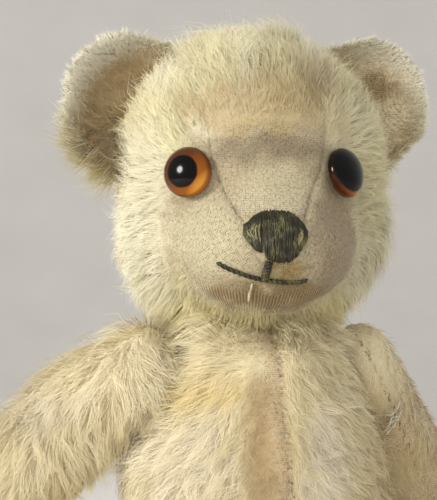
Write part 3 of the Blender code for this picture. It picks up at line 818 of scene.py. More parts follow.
# %% The grain of the cloth
def cloth_grain(tree, place, upright):
    """The height of the backing's threads, dots, fluff and ribs."""
    across, along = (
        add_node(tree, "TexWave", {"Vector": place, "Scale": 0.3142}, bands_direction=way).outputs["Fac"]
        for way in ("X", "Y")
    )
    dotted = {"Vector": place, "Scale": 1.15, "Randomness": 0.55}
    dots = add_node(tree, "TexVoronoi", dotted).outputs["Distance"]
    lattice = worked(tree, "MULTIPLY", across, along)
    fluffy = worked(tree, "MULTIPLY_ADD", lattice, 0.30, noise(tree, place, 0.55, 4.0, 0.75))
    woven = worked(tree, "MULTIPLY_ADD", dots, -0.45, fluffy)
    ribs = add_node(tree, "TexWave", {"Vector": upright, "Scale": 0.185}, bands_direction="X")
    ridge = worked(tree, "SUBTRACT", ribs.outputs["Fac"], 0.5)
    ridge = worked(tree, "MULTIPLY", ridge, read(tree, "ribs"))
    return worked(tree, "MULTIPLY_ADD", ridge, 0.62, woven)


# %% The backing cloth
GRAIN_MIDDLE = 0.33


def backing_cloth():
    """Tinted cloth with its weave, and dark stitches in the seams."""
    material, tree, shader = new_material("worn_backing", 0.95)
    straight = read(tree, "weave", "Vector")
    wobble = add_node(tree, "TexNoise", {"Vector": straight, "Scale": 0.35, "Detail": 2.0})
    moved = vector_worked(tree, "MULTIPLY", wobble.outputs["Color"], (1.1, 1.1, 0))
    place = vector_worked(tree, "ADD", straight, moved)
    upright = vector_worked(tree, "ADD", read(tree, "upright", "Vector"), moved)

    woven = worked(tree, "SUBTRACT", cloth_grain(tree, place, upright), GRAIN_MIDDLE)
    shown = ranged(tree, read(tree, "bare"), 0.25, 1.0)
    grain = worked(tree, "MULTIPLY_ADD", woven, shown, GRAIN_MIDDLE)
    light = colour_ramp(tree, grain, [
        (0.10, (0.45, 0.41, 0.35)), (GRAIN_MIDDLE, (0.88, 0.87, 0.84)), (0.56, (1.15, 1.12, 1.05)),
    ])
    stitches = worked(tree, "MULTIPLY", read(tree, "seam"), noise(tree, place, 0.5, 1.0))
    lines = colour_ramp(tree, stitches, [(0.36, (1.0, 1.0, 1.0)), (0.56, (0.34, 0.29, 0.22))])
    colour = multiplied(tree, multiplied(tree, read(tree, "tint", "Color"), light), lines)
    tree.links.new(colour, shader.inputs["Base Color"])
    give_bump(tree, shader, grain, 0.55, 0.0004)
    shader.inputs["Sheen Weight"].default_value = 0.15
    return material


backing = backing_cloth()
for skin in [head, torso, *limbs.values(), *ears.values()]:
    skin.data.materials.append(backing)
print("backing cloth nodes:", len(backing.node_tree.nodes))

# %% [markdown]
# ## Felt
#
# The pads are pressed wool with no weave at all, only fluff, rubbed darker in clouds. So two
# noises, one fine and one broad, are multiplied, and the fine one also gives the relief.

# %% The felt of the pads
felt, tree, shader = new_material("worn_felt", 0.95)
place = object_place(tree)
fluff = noise(tree, place, 1500.0, 5.0, 0.7)
mottle = worked(tree, "MULTIPLY", fluff, noise(tree, place, 70.0, 3.0))
wool = colour_ramp(tree, mottle, [
    (0.14, (0.26, 0.18, 0.10)), (0.25, (0.46, 0.35, 0.22)), (0.36, (0.60, 0.48, 0.32)),
])
tree.links.new(wool, shader.inputs["Base Color"])
give_bump(tree, shader, fluff, 0.6, 0.0005)
shader.inputs["Sheen Weight"].default_value = 0.2
for pad in pads.values():
    pad.data.materials.append(felt)
print("felt pads:", len(pads))

# %% [markdown]
# ## Pile
#
# Mohair is long, shiny and lies in locks. Hair particles would be the usual way, but the
# export can't carry them, so each strand is a thin ribbon of one quad and a pointed tip, and
# some tens of thousands of them make a coat. The roots are scattered over the skin by area
# and by a rule for how thick the pile still is.


# %% Scatter roots
def scatter(skin, count, density, seed, keep):
    """Roots on a skin, their normals, and the random source. density and keep weigh each place."""
    mesh = skin.data
    mesh.calc_loop_triangles()
    corners = np.empty(len(mesh.loop_triangles) * 3, int)
    mesh.loop_triangles.foreach_get("vertices", corners)
    corners = corners.reshape(-1, 3)
    points, normals = points_of(mesh), normals_of(mesh)
    middles = points[corners].mean(axis=1)
    sides = points[corners[:, 1:]] - points[corners[:, :1]]
    area = np.linalg.norm(np.cross(sides[:, 0], sides[:, 1]), axis=1)
    weight = area * density(middles)
    if keep is not None:
        weight = weight * keep(middles)
    random = np.random.default_rng(seed)
    chosen = random.choice(len(corners), size=count, p=weight / weight.sum())
    a, b = random.random((2, count, 1))
    flip = a + b > 1
    a, b = np.where(flip, 1 - a, a), np.where(flip, 1 - b, b)
    shares = np.concatenate([1 - a - b, a, b], axis=1)[:, :, None]
    roots = (points[corners[chosen]] * shares).sum(axis=1)
    ups = (normals[corners[chosen]] * shares).sum(axis=1)
    return roots, ups / np.linalg.norm(ups, axis=1, keepdims=True), random


# %% Directions on a skin
def unit(vectors):
    """Vectors made one long."""
    return vectors / np.maximum(np.linalg.norm(vectors, axis=1, keepdims=True), 1e-9)


def laid(vectors, ups, share=1.0):
    """Vectors laid flat on the skin, or part of the way."""
    return unit(vectors - ups * (vectors * ups).sum(axis=1, keepdims=True) * share)


def spin_round(vectors, axes, angles):
    """Vectors turned about unit axes at right angles to them."""
    return vectors * np.cos(angles)[:, None] + np.cross(axes, vectors) * np.sin(angles)[:, None]


# %% [markdown]
# ### Ribbons
#
# A ribbon lit by its own flat face would glitter like tinsel. Real plush takes the light as a
# soft whole, so each ribbon's normals are bent towards the skin's. Each has its own colour,
# with painted shade darker at the root and painted light at the tip, and its own cell in a UV
# map, so that a bake can't mix them.

# %% Strands as ribbons
TIP_PAINTED_LIGHT, ROOT_PAINTED_SHADE = 1.04, 0.90


def ribbon_mesh(name, corners, steps):
    """A mesh of ribbons from their corners: two at each step, and one at the tip."""
    count, per = corners.shape[:2]
    quads = [[2 * k, 2 * k + 1, 2 * k + 3, 2 * k + 2] for k in range(steps - 1)]
    pattern = np.concatenate([np.array(quads, int).reshape(-1), [per - 3, per - 2, per - 1]])
    first = np.concatenate([[0], np.cumsum([4] * (steps - 1))]).astype(int)
    loops = (np.arange(count)[:, None] * per + pattern[None, :]).ravel()
    starts = (np.arange(count)[:, None] * len(pattern) + first[None, :]).ravel()
    mesh = bpy.data.meshes.new(name)
    mesh.vertices.add(count * per)
    mesh.vertices.foreach_set("co", corners.astype(np.float32).ravel())
    mesh.loops.add(len(loops))
    mesh.loops.foreach_set("vertex_index", loops.astype(np.int32))
    mesh.polygons.add(len(starts))
    mesh.polygons.foreach_set("loop_start", starts.astype(np.int32))
    mesh.update(calc_edges=True)
    mesh.shade_smooth()
    return mesh, loops


def ribbon_cells(mesh, loops, count, steps):
    """A UV map that gives each ribbon a cell of its own."""
    cells = math.ceil(math.sqrt(count))
    column, row = np.arange(count) % cells, np.arange(count) // cells
    sideways = np.array([0.15, 0.85] * steps + [0.5])
    upwards = np.array(np.repeat(np.linspace(0.08, 0.75, steps), 2).tolist() + [0.95])
    places = np.stack([
        (column[:, None] + sideways[None, :]) / cells, (row[:, None] + upwards[None, :]) / cells,
    ], axis=2).reshape(-1, 2)
    layer = mesh.uv_layers.new(name="OFBake")
    layer.uv.foreach_set("vector", places[loops].astype(np.float32).ravel())


def ribbons(name, paths, sides, width, shades, ups):
    """A piece made of ribbons. paths is strands by points by 3, and the last point is the tip."""
    count, steps = paths.shape[0], paths.shape[1] - 1
    taper = np.linspace(1.0, 0.45, steps)[None, :, None]
    half = sides[:, None, :] * width[:, None, None] * taper / 2
    body = np.stack([paths[:, :-1] - half, paths[:, :-1] + half], axis=2).reshape(count, steps * 2, 3)
    mesh, loops = ribbon_mesh(name, np.concatenate([body, paths[:, -1:]], axis=1), steps)
    ribbon_cells(mesh, loops, count, steps)
    # painted shade towards each root and painted light at each tip
    dark = np.array(np.repeat(np.linspace(ROOT_PAINTED_SHADE, 1.0, steps), 2).tolist() + [TIP_PAINTED_LIGHT])
    write_colours(mesh, "shade", (shades[:, None, :] * dark[None, :, None]).reshape(-1, 3))
    facing = np.cross(sides, unit(paths[:, -1] - paths[:, 0]))
    facing *= np.sign((facing * ups).sum(axis=1, keepdims=True))
    soft_normals = np.repeat(unit(facing * 0.5 + ups), steps * 2 + 1, axis=0)
    mesh.normals_split_custom_set_from_vertices(soft_normals.tolist())
    made = bpy.data.objects.new(name, mesh)
    bpy.context.scene.collection.objects.link(made)
    return made


# %% [markdown]
# ### Combing
#
# Every strand leans the way its neighbours are combed, bends over, and hangs a little. Mohair
# clings in locks, so each strand is drawn towards the nearest of a few leaders, and shares
# its leader's sway, length and tone. A few wild ones stand out longer and on their own.

# %% The path of a strand
STRAND_STEPS = 2
WILD_SHARE = 0.04


def strand_paths(roots, ups, way, lift, length, curl):
    """Points along each strand: it rises from its root, bends over and hangs."""
    paths = [roots - ups * 0.0003]
    for k in range(STRAND_STEPS):
        angle = lift * (1.45 - 1.1 * k / (STRAND_STEPS - 1))
        turned = spin_round(way, ups, curl * k)
        step = turned * np.cos(angle)[:, None] + ups * np.sin(angle)[:, None]
        step[:, 2] -= 0.12 * k
        paths.append(paths[-1] + unit(step) * (length / STRAND_STEPS)[:, None])
    paths = np.stack(paths, axis=1)
    paths[:, :, 2] = np.maximum(paths[:, :, 2], 0.0002)
    return paths


def nearest_leader(roots, count, lock):
    """How many leaders a coat has, and which of them is nearest to each root."""
    leaders = max(8, int(count * min(1.0, (0.0008 / lock) ** 2) * 2))
    tree = KDTree(leaders)
    for i in range(leaders):
        tree.insert(roots[i], i)
    tree.balance()
    return leaders, np.array([tree.find(root)[1] for root in roots])


# %% Comb a coat
def comb(name, skin, body, count, rule, seed, width, keep=None, uneven=0.15, lock=0.0030, gather=0.6):
    """A coat of pile on a skin. The rule gives its density, length, way, lift and colour."""
    density, look = rule
    roots, ups, random = scatter(skin, count, density, seed, keep)
    length, way, lift, shade = look(roots, ups)
    leaders, leader = nearest_leader(roots, count, lock)
    sway = random.normal(size=leaders) * 0.30
    curl = (random.normal(size=leaders) * 0.35)[leader] + random.normal(size=count) * 0.12
    wild = random.random(count) < WILD_SHARE
    fuller = random.uniform(1 - uneven, 1 + uneven, leaders)
    tone = random.uniform(0.95, 1.04, leaders)
    way = spin_round(laid(way, ups), ups, sway[leader] + random.normal(size=count) * 0.16)
    length = length * fuller[leader] * random.uniform(0.75, 1.1, count)
    lift = lift + random.normal(size=count) * 0.10 + 0.35 * wild
    length = length * np.where(wild, 1.25, 1.0)
    paths = strand_paths(roots, ups, way, lift, length, curl)
    pull = random.uniform(0.2, 1.0, count) * np.where(wild, 0.2, gather)
    for k in range(1, STRAND_STEPS + 1):
        share = (pull * (k / STRAND_STEPS) ** 1.3)[:, None]
        paths[:, k] += (paths[leader, k] - paths[:, k]) * share
    along = unit(paths[:, -1] - paths[:, 0])
    sides = unit(np.cross(along, ups))
    sides = spin_round(sides, along, random.normal(size=count) * 0.55)
    shade = shade * (tone[leader] * random.uniform(0.92, 1.05, count))[:, None]
    coat = ribbons(name, paths, sides, width * random.uniform(0.7, 1.25, count), shade, ups)
    coat.data.materials.append(mohair)
    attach(coat, body)
    print(name, count, "strands")


# %% [markdown]
# ### The pile's finish
#
# The colour of each strand is already on it. What is left is the fibre's own life: flecks of
# lighter and darker dye, a satin shine that comes and goes with them, and a faint sheen.

# %% The mohair
mohair, tree, shader = new_material("mohair_pile", 0.55)
fleck = noise(tree, object_place(tree), 9000.0, 2.0)
dye = colour_ramp(tree, fleck, [(0.3, (0.86, 0.85, 0.82)), (0.7, (1.06, 1.05, 1.02))])
tree.links.new(multiplied(tree, read(tree, "shade", "Color"), dye), shader.inputs["Base Color"])
tree.links.new(ranged(tree, fleck, 0.45, 0.75), shader.inputs["Roughness"])
shader.inputs["Specular IOR Level"].default_value = 0.3
shader.inputs["Sheen Weight"].default_value = 0.15

# %% [markdown]
# ### The head's coat
#
# The pile is gone from the whole muzzle and up to the brow, short and brown over the
# forehead, dense and pale on the cheeks, and long on the crown. It is combed away from the
# nose, and hangs a little. The coat is made in two halves, so that no piece grows too big.

# %% Comb the head
NECK_TOP = (-0.1515, -0.1490)
nose_tip = np.array((0, -0.041, -0.012))


def head_density(points):
    """Thin stubble where the head is bald, and hardly any pile against the neck."""
    _, rise = head_angles(points)
    under = soft(-points[:, 2], *NECK_TOP)
    stubble = 0.03 + 0.10 * soft(rise, 18, 30)
    bald = (1 - stubble) * bald_share(points)
    return (1.0 - bald) * (1 - 0.25 * brow_share(points)) * (1 - 0.9 * under)


def head_length(points, turn, rise):
    """Shorter round the face, longer on the cheeks, the crown and under the chin."""
    edge = soft(spot(turn, rise, (1, -18), (60, 50), 2.4), -1.1, 0.0)
    length = 0.0098 - 0.0048 * edge
    length += 0.0022 * soft(spot(turn, rise, (84, -6), (34, 26)), 0.0, 0.6)
    length += 0.0022 * soft(spot(turn, rise, (-70, -44), (34, 18)), 0.0, 0.6)
    length += 0.0042 * soft(rise, 50, 70) * soft(waves(points, 0.008, 46), -0.1, 0.8)
    return length + 0.0030 * soft(-rise, 50, 60)


def head_look(roots, ups):
    """How the head's pile lies."""
    bald, brow = bald_share(roots), brow_share(roots)
    place = head_place(roots)
    way = unit(place - nose_tip)
    way[:, 2] -= 0.55 * soft(-place[:, 2], -0.02, 0.02)
    way = spin_round(laid(way, ups), ups, 0.45 * waves(roots, 0.013, 41))
    length = head_length(roots, *head_angles(roots)) * (1 - 0.5 * brow) * (1 - 0.80 * bald)
    lift = 0.58 + 0.10 * waves(roots, 0.008, 42) - 0.18 * brow
    shade = head_pile_colour(roots)
    shade += (np.array((0.60, 0.52, 0.34)) - shade) * (0.8 * bald)[:, None]
    return length, way, lift, shade


for name, seed, keep in (
    ("head_pile_left", 51, lambda points: head_place(points)[:, 0] > 0),
    ("head_pile_right", 52, lambda points: head_place(points)[:, 0] <= 0),
):
    comb(name, head, "head", 50000, (head_density, head_look), seed, 0.00019, keep, uneven=0.3)

# %% [markdown]
# ### The torso's coat
#
# The chest keeps long swirling locks, swept to the bear's right at the top and down below.
# Round the neck they stand up in a ruff. Beside the seam down the front a strip is worn bare.


# %% Comb the torso
def torso_density(points):
    """Thin on the worn strip and the back, thick in the ruff."""
    front = soft(-points[:, 1], 0.0, 0.02)
    strip = soft(-np.abs(points[:, 0] + 0.003), -0.0050, -0.0015) * front
    strip *= soft(waves(points, 0.006, 60), -1.4, 0.2)
    return (1.0 - 0.85 * strip) * (0.45 + 0.55 * front + 0.8 * soft(points[:, 2], 0.130, 0.142))


def torso_look(roots, ups):
    """How the torso's pile lies."""
    x, z = roots[:, 0], roots[:, 2]
    front = soft(-roots[:, 1], -0.01, 0.02)
    swirl = front * soft(-x, 0.002, 0.012) * soft(z, 0.122, 0.132)
    down = np.stack([np.where(x > 0, 0.35, -0.75), np.zeros(len(x)), np.full(len(x), -1.0)], axis=1)
    sweep = np.array((-1.0, 0.0, -0.10))
    way = laid(down + (sweep - down) * swirl[:, None], ups)
    way = spin_round(way, ups, 0.40 * waves(roots, 0.016, 61) + 0.2 * waves(roots, 0.006, 62))
    strip = soft(-np.abs(x + 0.006), -0.0090, -0.0040) * front
    ruff = soft(z, 0.139, 0.146)
    length = 0.0080 + 0.0040 * front * soft(-x, 0.004, 0.014) + 0.0050 * ruff
    lift = 0.36 + 0.10 * waves(roots, 0.008, 63) + 0.55 * ruff
    return length * (1 - 0.5 * strip), way, lift, torso_pile_colour(roots)


for name, seed, keep in (
    ("torso_pile_left", 71, lambda points: points[:, 0] > 0),
    ("torso_pile_right", 72, lambda points: points[:, 0] <= 0),
):
    comb(name, torso, "torso", 35000, (torso_density, torso_look), seed, 0.00019, keep,
         lock=0.0045, gather=0.75)


# %% [markdown]
# ### The limbs' coats
#
# A limb is combed down its length. The right arm has long locks, the left one is worn short,
# and the legs lie between. Pile between an arm and the body is kept short, because nobody
# sees it and it would poke out at the shoulder. It stops where the felt pads begin.


# %% Comb the limbs
def limb_rule(joint, side, thin, length, pad):
    """The coat of a limb. thin is how much of the pile has gone."""
    origin = np.array(joint)
    end = np.array((origin[0] + side * 0.02, origin[1] - 0.03, 0.02))

    def density(points):
        """Thin where the pile has gone, and none on the felt."""
        worn = soft(waves(points, 0.014, 80), 0.1, 1.0)
        return (1.0 - thin * worn) * soft(reach_to(points, [pad]), 0.0020, 0.0036)

    def look(roots, ups):
        """Combed down the limb, and short against the body."""
        way = laid(np.broadcast_to(unit((end - origin)[None, :]), roots.shape), ups)
        way = spin_round(way, ups, 0.55 * waves(roots, 0.014, 81))
        top = soft(ups[:, 2], 0.2, 0.8) * (1 - thin)
        lift = 0.42 - 0.15 * thin + 0.12 * waves(roots, 0.008, 82)
        hidden = 1 - 0.6 * soft(-side * ups[:, 0], 0.1, 0.6)
        return (length + 0.0015 * top) * hidden, way, lift, limb_pile_colour(roots, thin)

    return density, look


for hand, side, arm_length, arm_count in (("left", 1, 0.0045, 16000), ("right", -1, 0.0120, 27000)):
    arm, leg = f"arm_{hand}", f"leg_{hand}"
    rule = limb_rule(joints[f"shoulder_{hand}"], side, THINNED[arm], arm_length, f"paw_pad_{hand}")
    comb(f"{arm}_pile", limbs[arm], arm, arm_count, rule, 90 + side, 0.00020, lock=0.0040, gather=0.7)
    rule = limb_rule(joints[f"hip_{hand}"], side, THINNED[leg], 0.0080, f"foot_pad_{hand}")
    comb(f"{leg}_pile", limbs[leg], leg, 13000, rule, 95 + side, 0.00034)

# %% [markdown]
# ### The ears' coats
#
# The ear on the bear's right keeps its pile, brown in the cup, partly with painted shade there,
# silver on the rim and long at the bottom, where it hangs in wisps. The other ear is nearly
# worn to the cloth, and the hollow of its fold has painted shade. Both are combed from the
# seam out to the rim.

# %% Comb the ears
EAR_OUT, EAR_UP, EAR_RADIUS = 0.871, 0.491, 0.026


def ear_rule(side, thin):
    """The coat of an ear. thin is how much of the pile has gone."""
    turned = np.array(Matrix.Rotation(HEAD_TURN, 3, "Z"))
    foot = np.array(joints["neck"]) + turned @ np.array((side * 0.029, 0.003, 0.0595))
    out = turned @ np.array((side * EAR_OUT, 0, EAR_UP))

    def rim(points):
        """0 at the ear's foot, 1 at its rim."""
        return np.linalg.norm((points - foot) * np.array((1, 0.4, 1)), axis=1) / EAR_RADIUS

    def density(points):
        """Thickest along the rim."""
        worn = soft(waves(points, 0.009, 100), 0.0, 0.9)
        return (1.0 - thin * (0.5 + 0.5 * worn)) * (0.4 + 0.9 * soft(rim(points), 0.6, 1.0))

    def look(roots, ups):
        """Combed outwards, with longer wisps at the bottom."""
        way = unit(roots - foot + out * 0.004)
        way[:, 2] -= 0.1
        way = spin_round(laid(way, ups, 0.7), ups, 0.45 * waves(roots, 0.010, 101))
        low = soft(foot[2] + 0.006 - roots[:, 2], -0.002, 0.012) * (1 - thin)
        way[:, 2] -= 0.5 * low
        length = (0.0050 + 0.0125 * low) * (1 - 0.5 * thin)
        lift = 0.30 + 0.15 * waves(roots, 0.007, 102) + 0.25 * low
        far = soft(rim(roots), 0.70, 1.05)
        # The brown in the cup is partly the fur's own colour and partly painted shade in the hollow.
        cup = soft(-ups[:, 1], 0.0, 0.5) * (1 - far)
        shade = blend_tints(CREAM, [
            (cup * (1 - 0.6 * thin), (0.50, 0.37, 0.19)),
            (cup * soft(waves(roots, 0.009, 103), -0.6, 0.6) * 0.8 * (1 - thin), BROWN),
            (far * 0.8, SILVER),
            # painted shade in the hollow of the left ear's fold
            (ear_fold_shade(roots), BROWN),
        ])
        return length, unit(way), lift, shade

    return density, look


comb("ear_right_pile", ears["right"], "head", 19000, ear_rule(-1, 0.1), 111, 0.00024,
     lock=0.0045, gather=0.85)
comb("ear_left_pile", ears["left"], "head", 11000, ear_rule(1, 0.8), 112, 0.00024)


# %% [markdown]
# ## The glass eyes
#
# Each eye is a blown glass dome with a painted back: amber, with a black pupil. Clear glass
# over paint would need two shells and much light, so one dome carries the colours, drawn by
# how far a point lies from the pupil, and a clear coat gives the wet shine. Light from the
# window goes through and lights the amber on the far side, so that edge is painted brighter.


# %% The painted glass
def eye_material(name, pupil, pupil_size, glow):
    """Amber glass with a pupil, painted brighter towards the glow of the window's light, with painted shade
    at the rim.
    """
    material, tree, shader = new_material(name, 0.12)
    disc = read(tree, "disc", "Vector")
    reach = vector_worked(tree, "DISTANCE", disc, (*pupil, 0), output="Value")
    edge = worked(tree, "MULTIPLY_ADD", noise(tree, disc, 3.0, 3.0), 0.05, reach)
    side = vector_worked(tree, "DOT_PRODUCT", disc, (*glow, 0), output="Value")
    # Painted light: the amber is dark away from the window and glows bright on the side its light comes
    # through.
    amber = colour_ramp(tree, worked(tree, "MULTIPLY_ADD", side, 0.5, 0.5), [
        (0.05, (0.05, 0.012, 0.002)), (0.40, (0.10, 0.026, 0.003)),
        (0.80, (0.28, 0.080, 0.006)), (1.0, (0.90, 0.42, 0.06)),
    ])
    black = colour_ramp(tree, edge, [
        (pupil_size - 0.03, (0.004, 0.004, 0.005)), (pupil_size + 0.03, (1, 1, 1)),
    ])
    # Painted shade darkens the ring at the rim.
    rim = vector_worked(tree, "LENGTH", disc, output="Value")
    shaded = colour_ramp(tree, rim, [(0.0, (1, 1, 1)), (0.90, (1, 1, 1)), (0.97, (0.45, 0.30, 0.2))])
    colour = multiplied(tree, multiplied(tree, amber, black), shaded)
    tree.links.new(colour, shader.inputs["Base Color"])
    shader.inputs["Specular IOR Level"].default_value = 0.15
    shader.inputs["Coat Weight"].default_value = 0.35
    shader.inputs["Coat IOR"].default_value = 1.35
    shader.inputs["Coat Roughness"].default_value = 0.13
    return material


# %% [markdown]
# ### Shaping a dome
#
# A ball is the start. In edit mode its front half is lowered to a dome and its back half
# pressed nearly flat, like the real glass. The ball's size and the dome's height are measured
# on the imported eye, so that the glass fills the same space.

# %% Shape a dome
EYE_LIFT = math.radians(8)
EYE_EDGE = 0.0008
face_turn = Matrix.Rotation(HEAD_TURN, 3, "Z")


def outward(side, turn, rise):
    """The way an eye looks, from its turn away from straight ahead and its rise."""
    return face_turn @ Vector((
        side * math.sin(turn) * math.cos(rise), -math.cos(turn) * math.cos(rise), math.sin(rise),
    ))


def glass_dome(name, radius, dome):
    """A dome on a thin flat back, at the origin, looking up."""
    bpy.ops.object.select_all(action="DESELECT")
    bpy.ops.mesh.primitive_uv_sphere_add(segments=40, ring_count=24, radius=radius)
    eye = bpy.context.object
    eye.name = name
    bpy.ops.object.mode_set(mode="EDIT")
    bpy.ops.mesh.select_all(action="DESELECT")
    shape = bmesh.from_edit_mesh(eye.data)
    for vertex in shape.verts:
        vertex.select = vertex.co.z > 0.0001
    shape.select_flush(True)
    bmesh.update_edit_mesh(eye.data)
    bpy.ops.transform.resize(value=(1, 1, (dome - EYE_EDGE) / radius), center_override=(0, 0, 0))
    bpy.ops.transform.translate(value=(0, 0, EYE_EDGE))
    bpy.ops.mesh.select_all(action="INVERT")
    bpy.ops.transform.resize(value=(0.97, 0.97, 0.02), center_override=(0, 0, 0))
    bpy.ops.object.mode_set(mode="OBJECT")
    eye.data.shade_smooth()
    write_vectors(eye.data, "disc", points_of(eye.data) / radius * np.array((1, 1, 0)))
    return eye


# %% Set the eyes
def set_eye(hand, side, turn, more_turn, more_rise, shift, look):
    """A glass eye in the place of its CAD node, turned a little more and shifted to sit well."""
    points = points_of(nodes[f"eye_{hand}"].data)
    axis = outward(side, turn, EYE_LIFT)
    depths = points @ np.array(axis)
    middle = Vector(points.mean(axis=0))
    middle += axis * (depths.min() - middle.dot(axis))
    spokes = np.cross(points - np.array(middle), np.array(axis))
    radius = float(np.linalg.norm(spokes, axis=1).max())
    dome = float(depths.max() - depths.min())

    axis = outward(side, turn + math.radians(more_turn), EYE_LIFT + math.radians(more_rise))
    across = Vector((0, 0, 1)).cross(axis).normalized()
    lean = Matrix((across, axis.cross(across), axis)).transposed().to_4x4()
    lean.translation = middle + Vector(shift)
    eye = glass_dome(f"eye_{hand}_glass", radius, dome)
    eye.data.transform(lean)
    eye.data.materials.append(look)
    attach(eye, "head")
    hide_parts(f"eye_{hand}")
    print(eye.name, "radius", round(radius * 1000, 2), "mm, dome", round(dome * 1000, 2), "mm")


bright_eye = eye_material("amber_glass_right", (0.0, -0.04), 0.66, (0.75, -0.62))
dark_eye = eye_material("amber_glass_left", (-0.08, 0.07), 0.92, (0.70, -0.70))
set_eye("right", -1, math.radians(33), 0, 0, (0.0009, 0, -0.0011), bright_eye)
set_eye("left", 1, math.radians(41), 7, 5, (-0.0006, 0, -0.0012), dark_eye)

# %% [markdown]
# ## Thread
#
# The nose and mouth are sewn, so they are made of thread. Each thread is a curve with a round
# bevel that starts and ends in the cloth. To find the cloth, a ray is cast at the head's skin
# from in front of the face.

# %% Points on the front of the face
head_tree = BVHTree.FromObject(head, bpy.context.evaluated_depsgraph_get())


def on_face(across, height, over):
    """A point over the face, across and up from the neck in the head's own directions."""
    start = joints["neck"] + face_turn @ Vector((across, -0.09, height))
    place, normal, _, _ = head_tree.ray_cast(start, face_turn @ Vector((0, 1, 0)))
    return place + normal * over


# %% Threads from curves
def threads(name, body, paths, radii, look):
    """Threads along paths, as one mesh made from curves that thin at both ends."""
    curve = bpy.data.curves.new(name, "CURVE")
    curve.dimensions = "3D"
    curve.bevel_depth = 1.0
    curve.bevel_resolution = 1
    curve.use_fill_caps = True
    for path, radius in zip(paths, radii):
        spline = curve.splines.new("POLY")
        spline.points.add(len(path) - 1)
        for k, (place, point) in enumerate(zip(spline.points, path)):
            place.co = (*point, 1)
            place.radius = radius * (0.65 if k in (0, len(path) - 1) else 1.0)
    made = bpy.data.objects.new(name, curve)
    bpy.context.scene.collection.objects.link(made)
    bpy.ops.object.select_all(action="DESELECT")
    made.select_set(True)
    bpy.context.view_layer.objects.active = made
    bpy.ops.object.convert(target="MESH")
    made = bpy.context.object
    made.data.shade_smooth()
    made.data.materials.clear()
    made.data.materials.append(look)
    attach(made, body)
    print(name, len(paths), "threads")
    return made


# %% Thread materials
def thread_material(name, stops):
    """Spun thread: colour and shine change along fine fibres drawn out down the thread."""
    material, tree, shader = new_material(name, 0.5)
    place = object_place(tree)
    drawn = add_node(tree, "Mapping", {"Vector": place, "Scale": (1.0, 1.0, 0.18)}).outputs["Vector"]
    fibres = noise(tree, drawn, 2600.0, 3.0)
    worn = worked(tree, "MULTIPLY", fibres, noise(tree, place, 260.0, 2.0))
    tree.links.new(colour_ramp(tree, worn, stops), shader.inputs["Base Color"])
    give_bump(tree, shader, fibres, 0.5, 0.0003)
    tree.links.new(ranged(tree, fibres, 0.30, 0.65), shader.inputs["Roughness"])
    return material


dark_thread = thread_material("dark_thread", [
    (0.15, (0.008, 0.007, 0.002)), (0.27, (0.036, 0.032, 0.011)), (0.42, (0.17, 0.15, 0.055)),
])
pale_thread = thread_material("pale_thread", [(0.15, (0.42, 0.36, 0.24)), (0.35, (0.74, 0.69, 0.54))])
gap_and_sheen_thread = thread_material("gap_and_sheen_thread", [(0.15, (0.10, 0.085, 0.03)), (0.38, (0.42, 0.37, 0.19))])

# %% [markdown]
# ## The sewn nose
#
# The nose is satin stitch: upright threads laid side by side over the end of the muzzle. At
# the bear's right they fan out round the side, a thick padding lies in the middle, a few
# close the left side, and fine threads cover the padding. Last come a few paler, golden ones
# on both sides, for the pale gaps between stitches and for painted satin sheen.

# %% One stitch of the nose
NOSE_MIDDLE, NOSE_HALF_WIDTH, NOSE_HALF_HEIGHT = 0.0256, 0.0090, 0.0072
random = np.random.default_rng(7)


def nose_thread(top, foot, bow, over, radius):
    """One thread from top to foot, given as shares of the nose, bowed sideways."""
    path = []
    for k in range(11):
        along = k / 10
        arch = math.sin(math.pi * min(max(along, 0.04), 0.96))
        across = top[0] + (foot[0] - top[0]) * along + bow * arch + 0.006 * random.normal()
        height = top[1] + (foot[1] - top[1]) * along
        path.append(on_face(
            across * NOSE_HALF_WIDTH, NOSE_MIDDLE + height * NOSE_HALF_HEIGHT, over * arch ** 0.45 - 0.0002,
        ))
    return path, radius * random.uniform(0.85, 1.15)


def nose_edge(share):
    """How high the nose's rounded outline stands at a share of its width."""
    return (1 - min(abs(share), 0.999) ** 2.6) ** (1 / 2.6)


def nose_foot(share):
    """How much higher the nose's lower edge is at a share of its width."""
    return abs((share - 0.15) / 0.52) ** 3


# %% Sew the nose
stitches = []
for i in range(12):
    fan = i / 11
    stitches.append(nose_thread(
        (-0.38 - 0.20 * fan, 0.95 - 0.16 * fan), (-0.46 - 0.14 * fan, -0.66 + 0.10 * fan),
        -0.04 - 0.34 * fan, 0.0016, 0.00034,
    ))
for i in range(16):
    share = -0.34 + 1.00 * i / 15
    low = 0.20 * nose_foot(share) - 1.0
    stitches.append(nose_thread(
        (share, 0.95 * nose_edge(share)), (0.9 * share, low), 0.0, 0.0011, 0.00046,
    ))
for i in range(8):
    fan = i / 7
    stitches.append(nose_thread(
        (0.74 + 0.12 * fan, 0.78 - 0.22 * fan), (0.66 + 0.10 * fan, -0.82 + 0.25 * fan),
        0.04 + 0.16 * fan, 0.0016, 0.00032,
    ))
for i in range(38):
    share = -0.36 + 1.03 * (i + random.uniform(-0.4, 0.4)) / 37
    top = nose_edge(share) * random.uniform(0.94, 1.02)
    low = 0.22 * nose_foot(share) - random.uniform(0.96, 1.06)
    over = random.uniform(0.0020, 0.0023)
    stitches.append(nose_thread(
        (share, top), (0.9 * share + 0.02, low), 0.06 * (share - 0.15), over, 0.00025,
    ))
nose = threads("nose_threads", "head", *zip(*stitches), dark_thread)
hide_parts("nose_stitches")

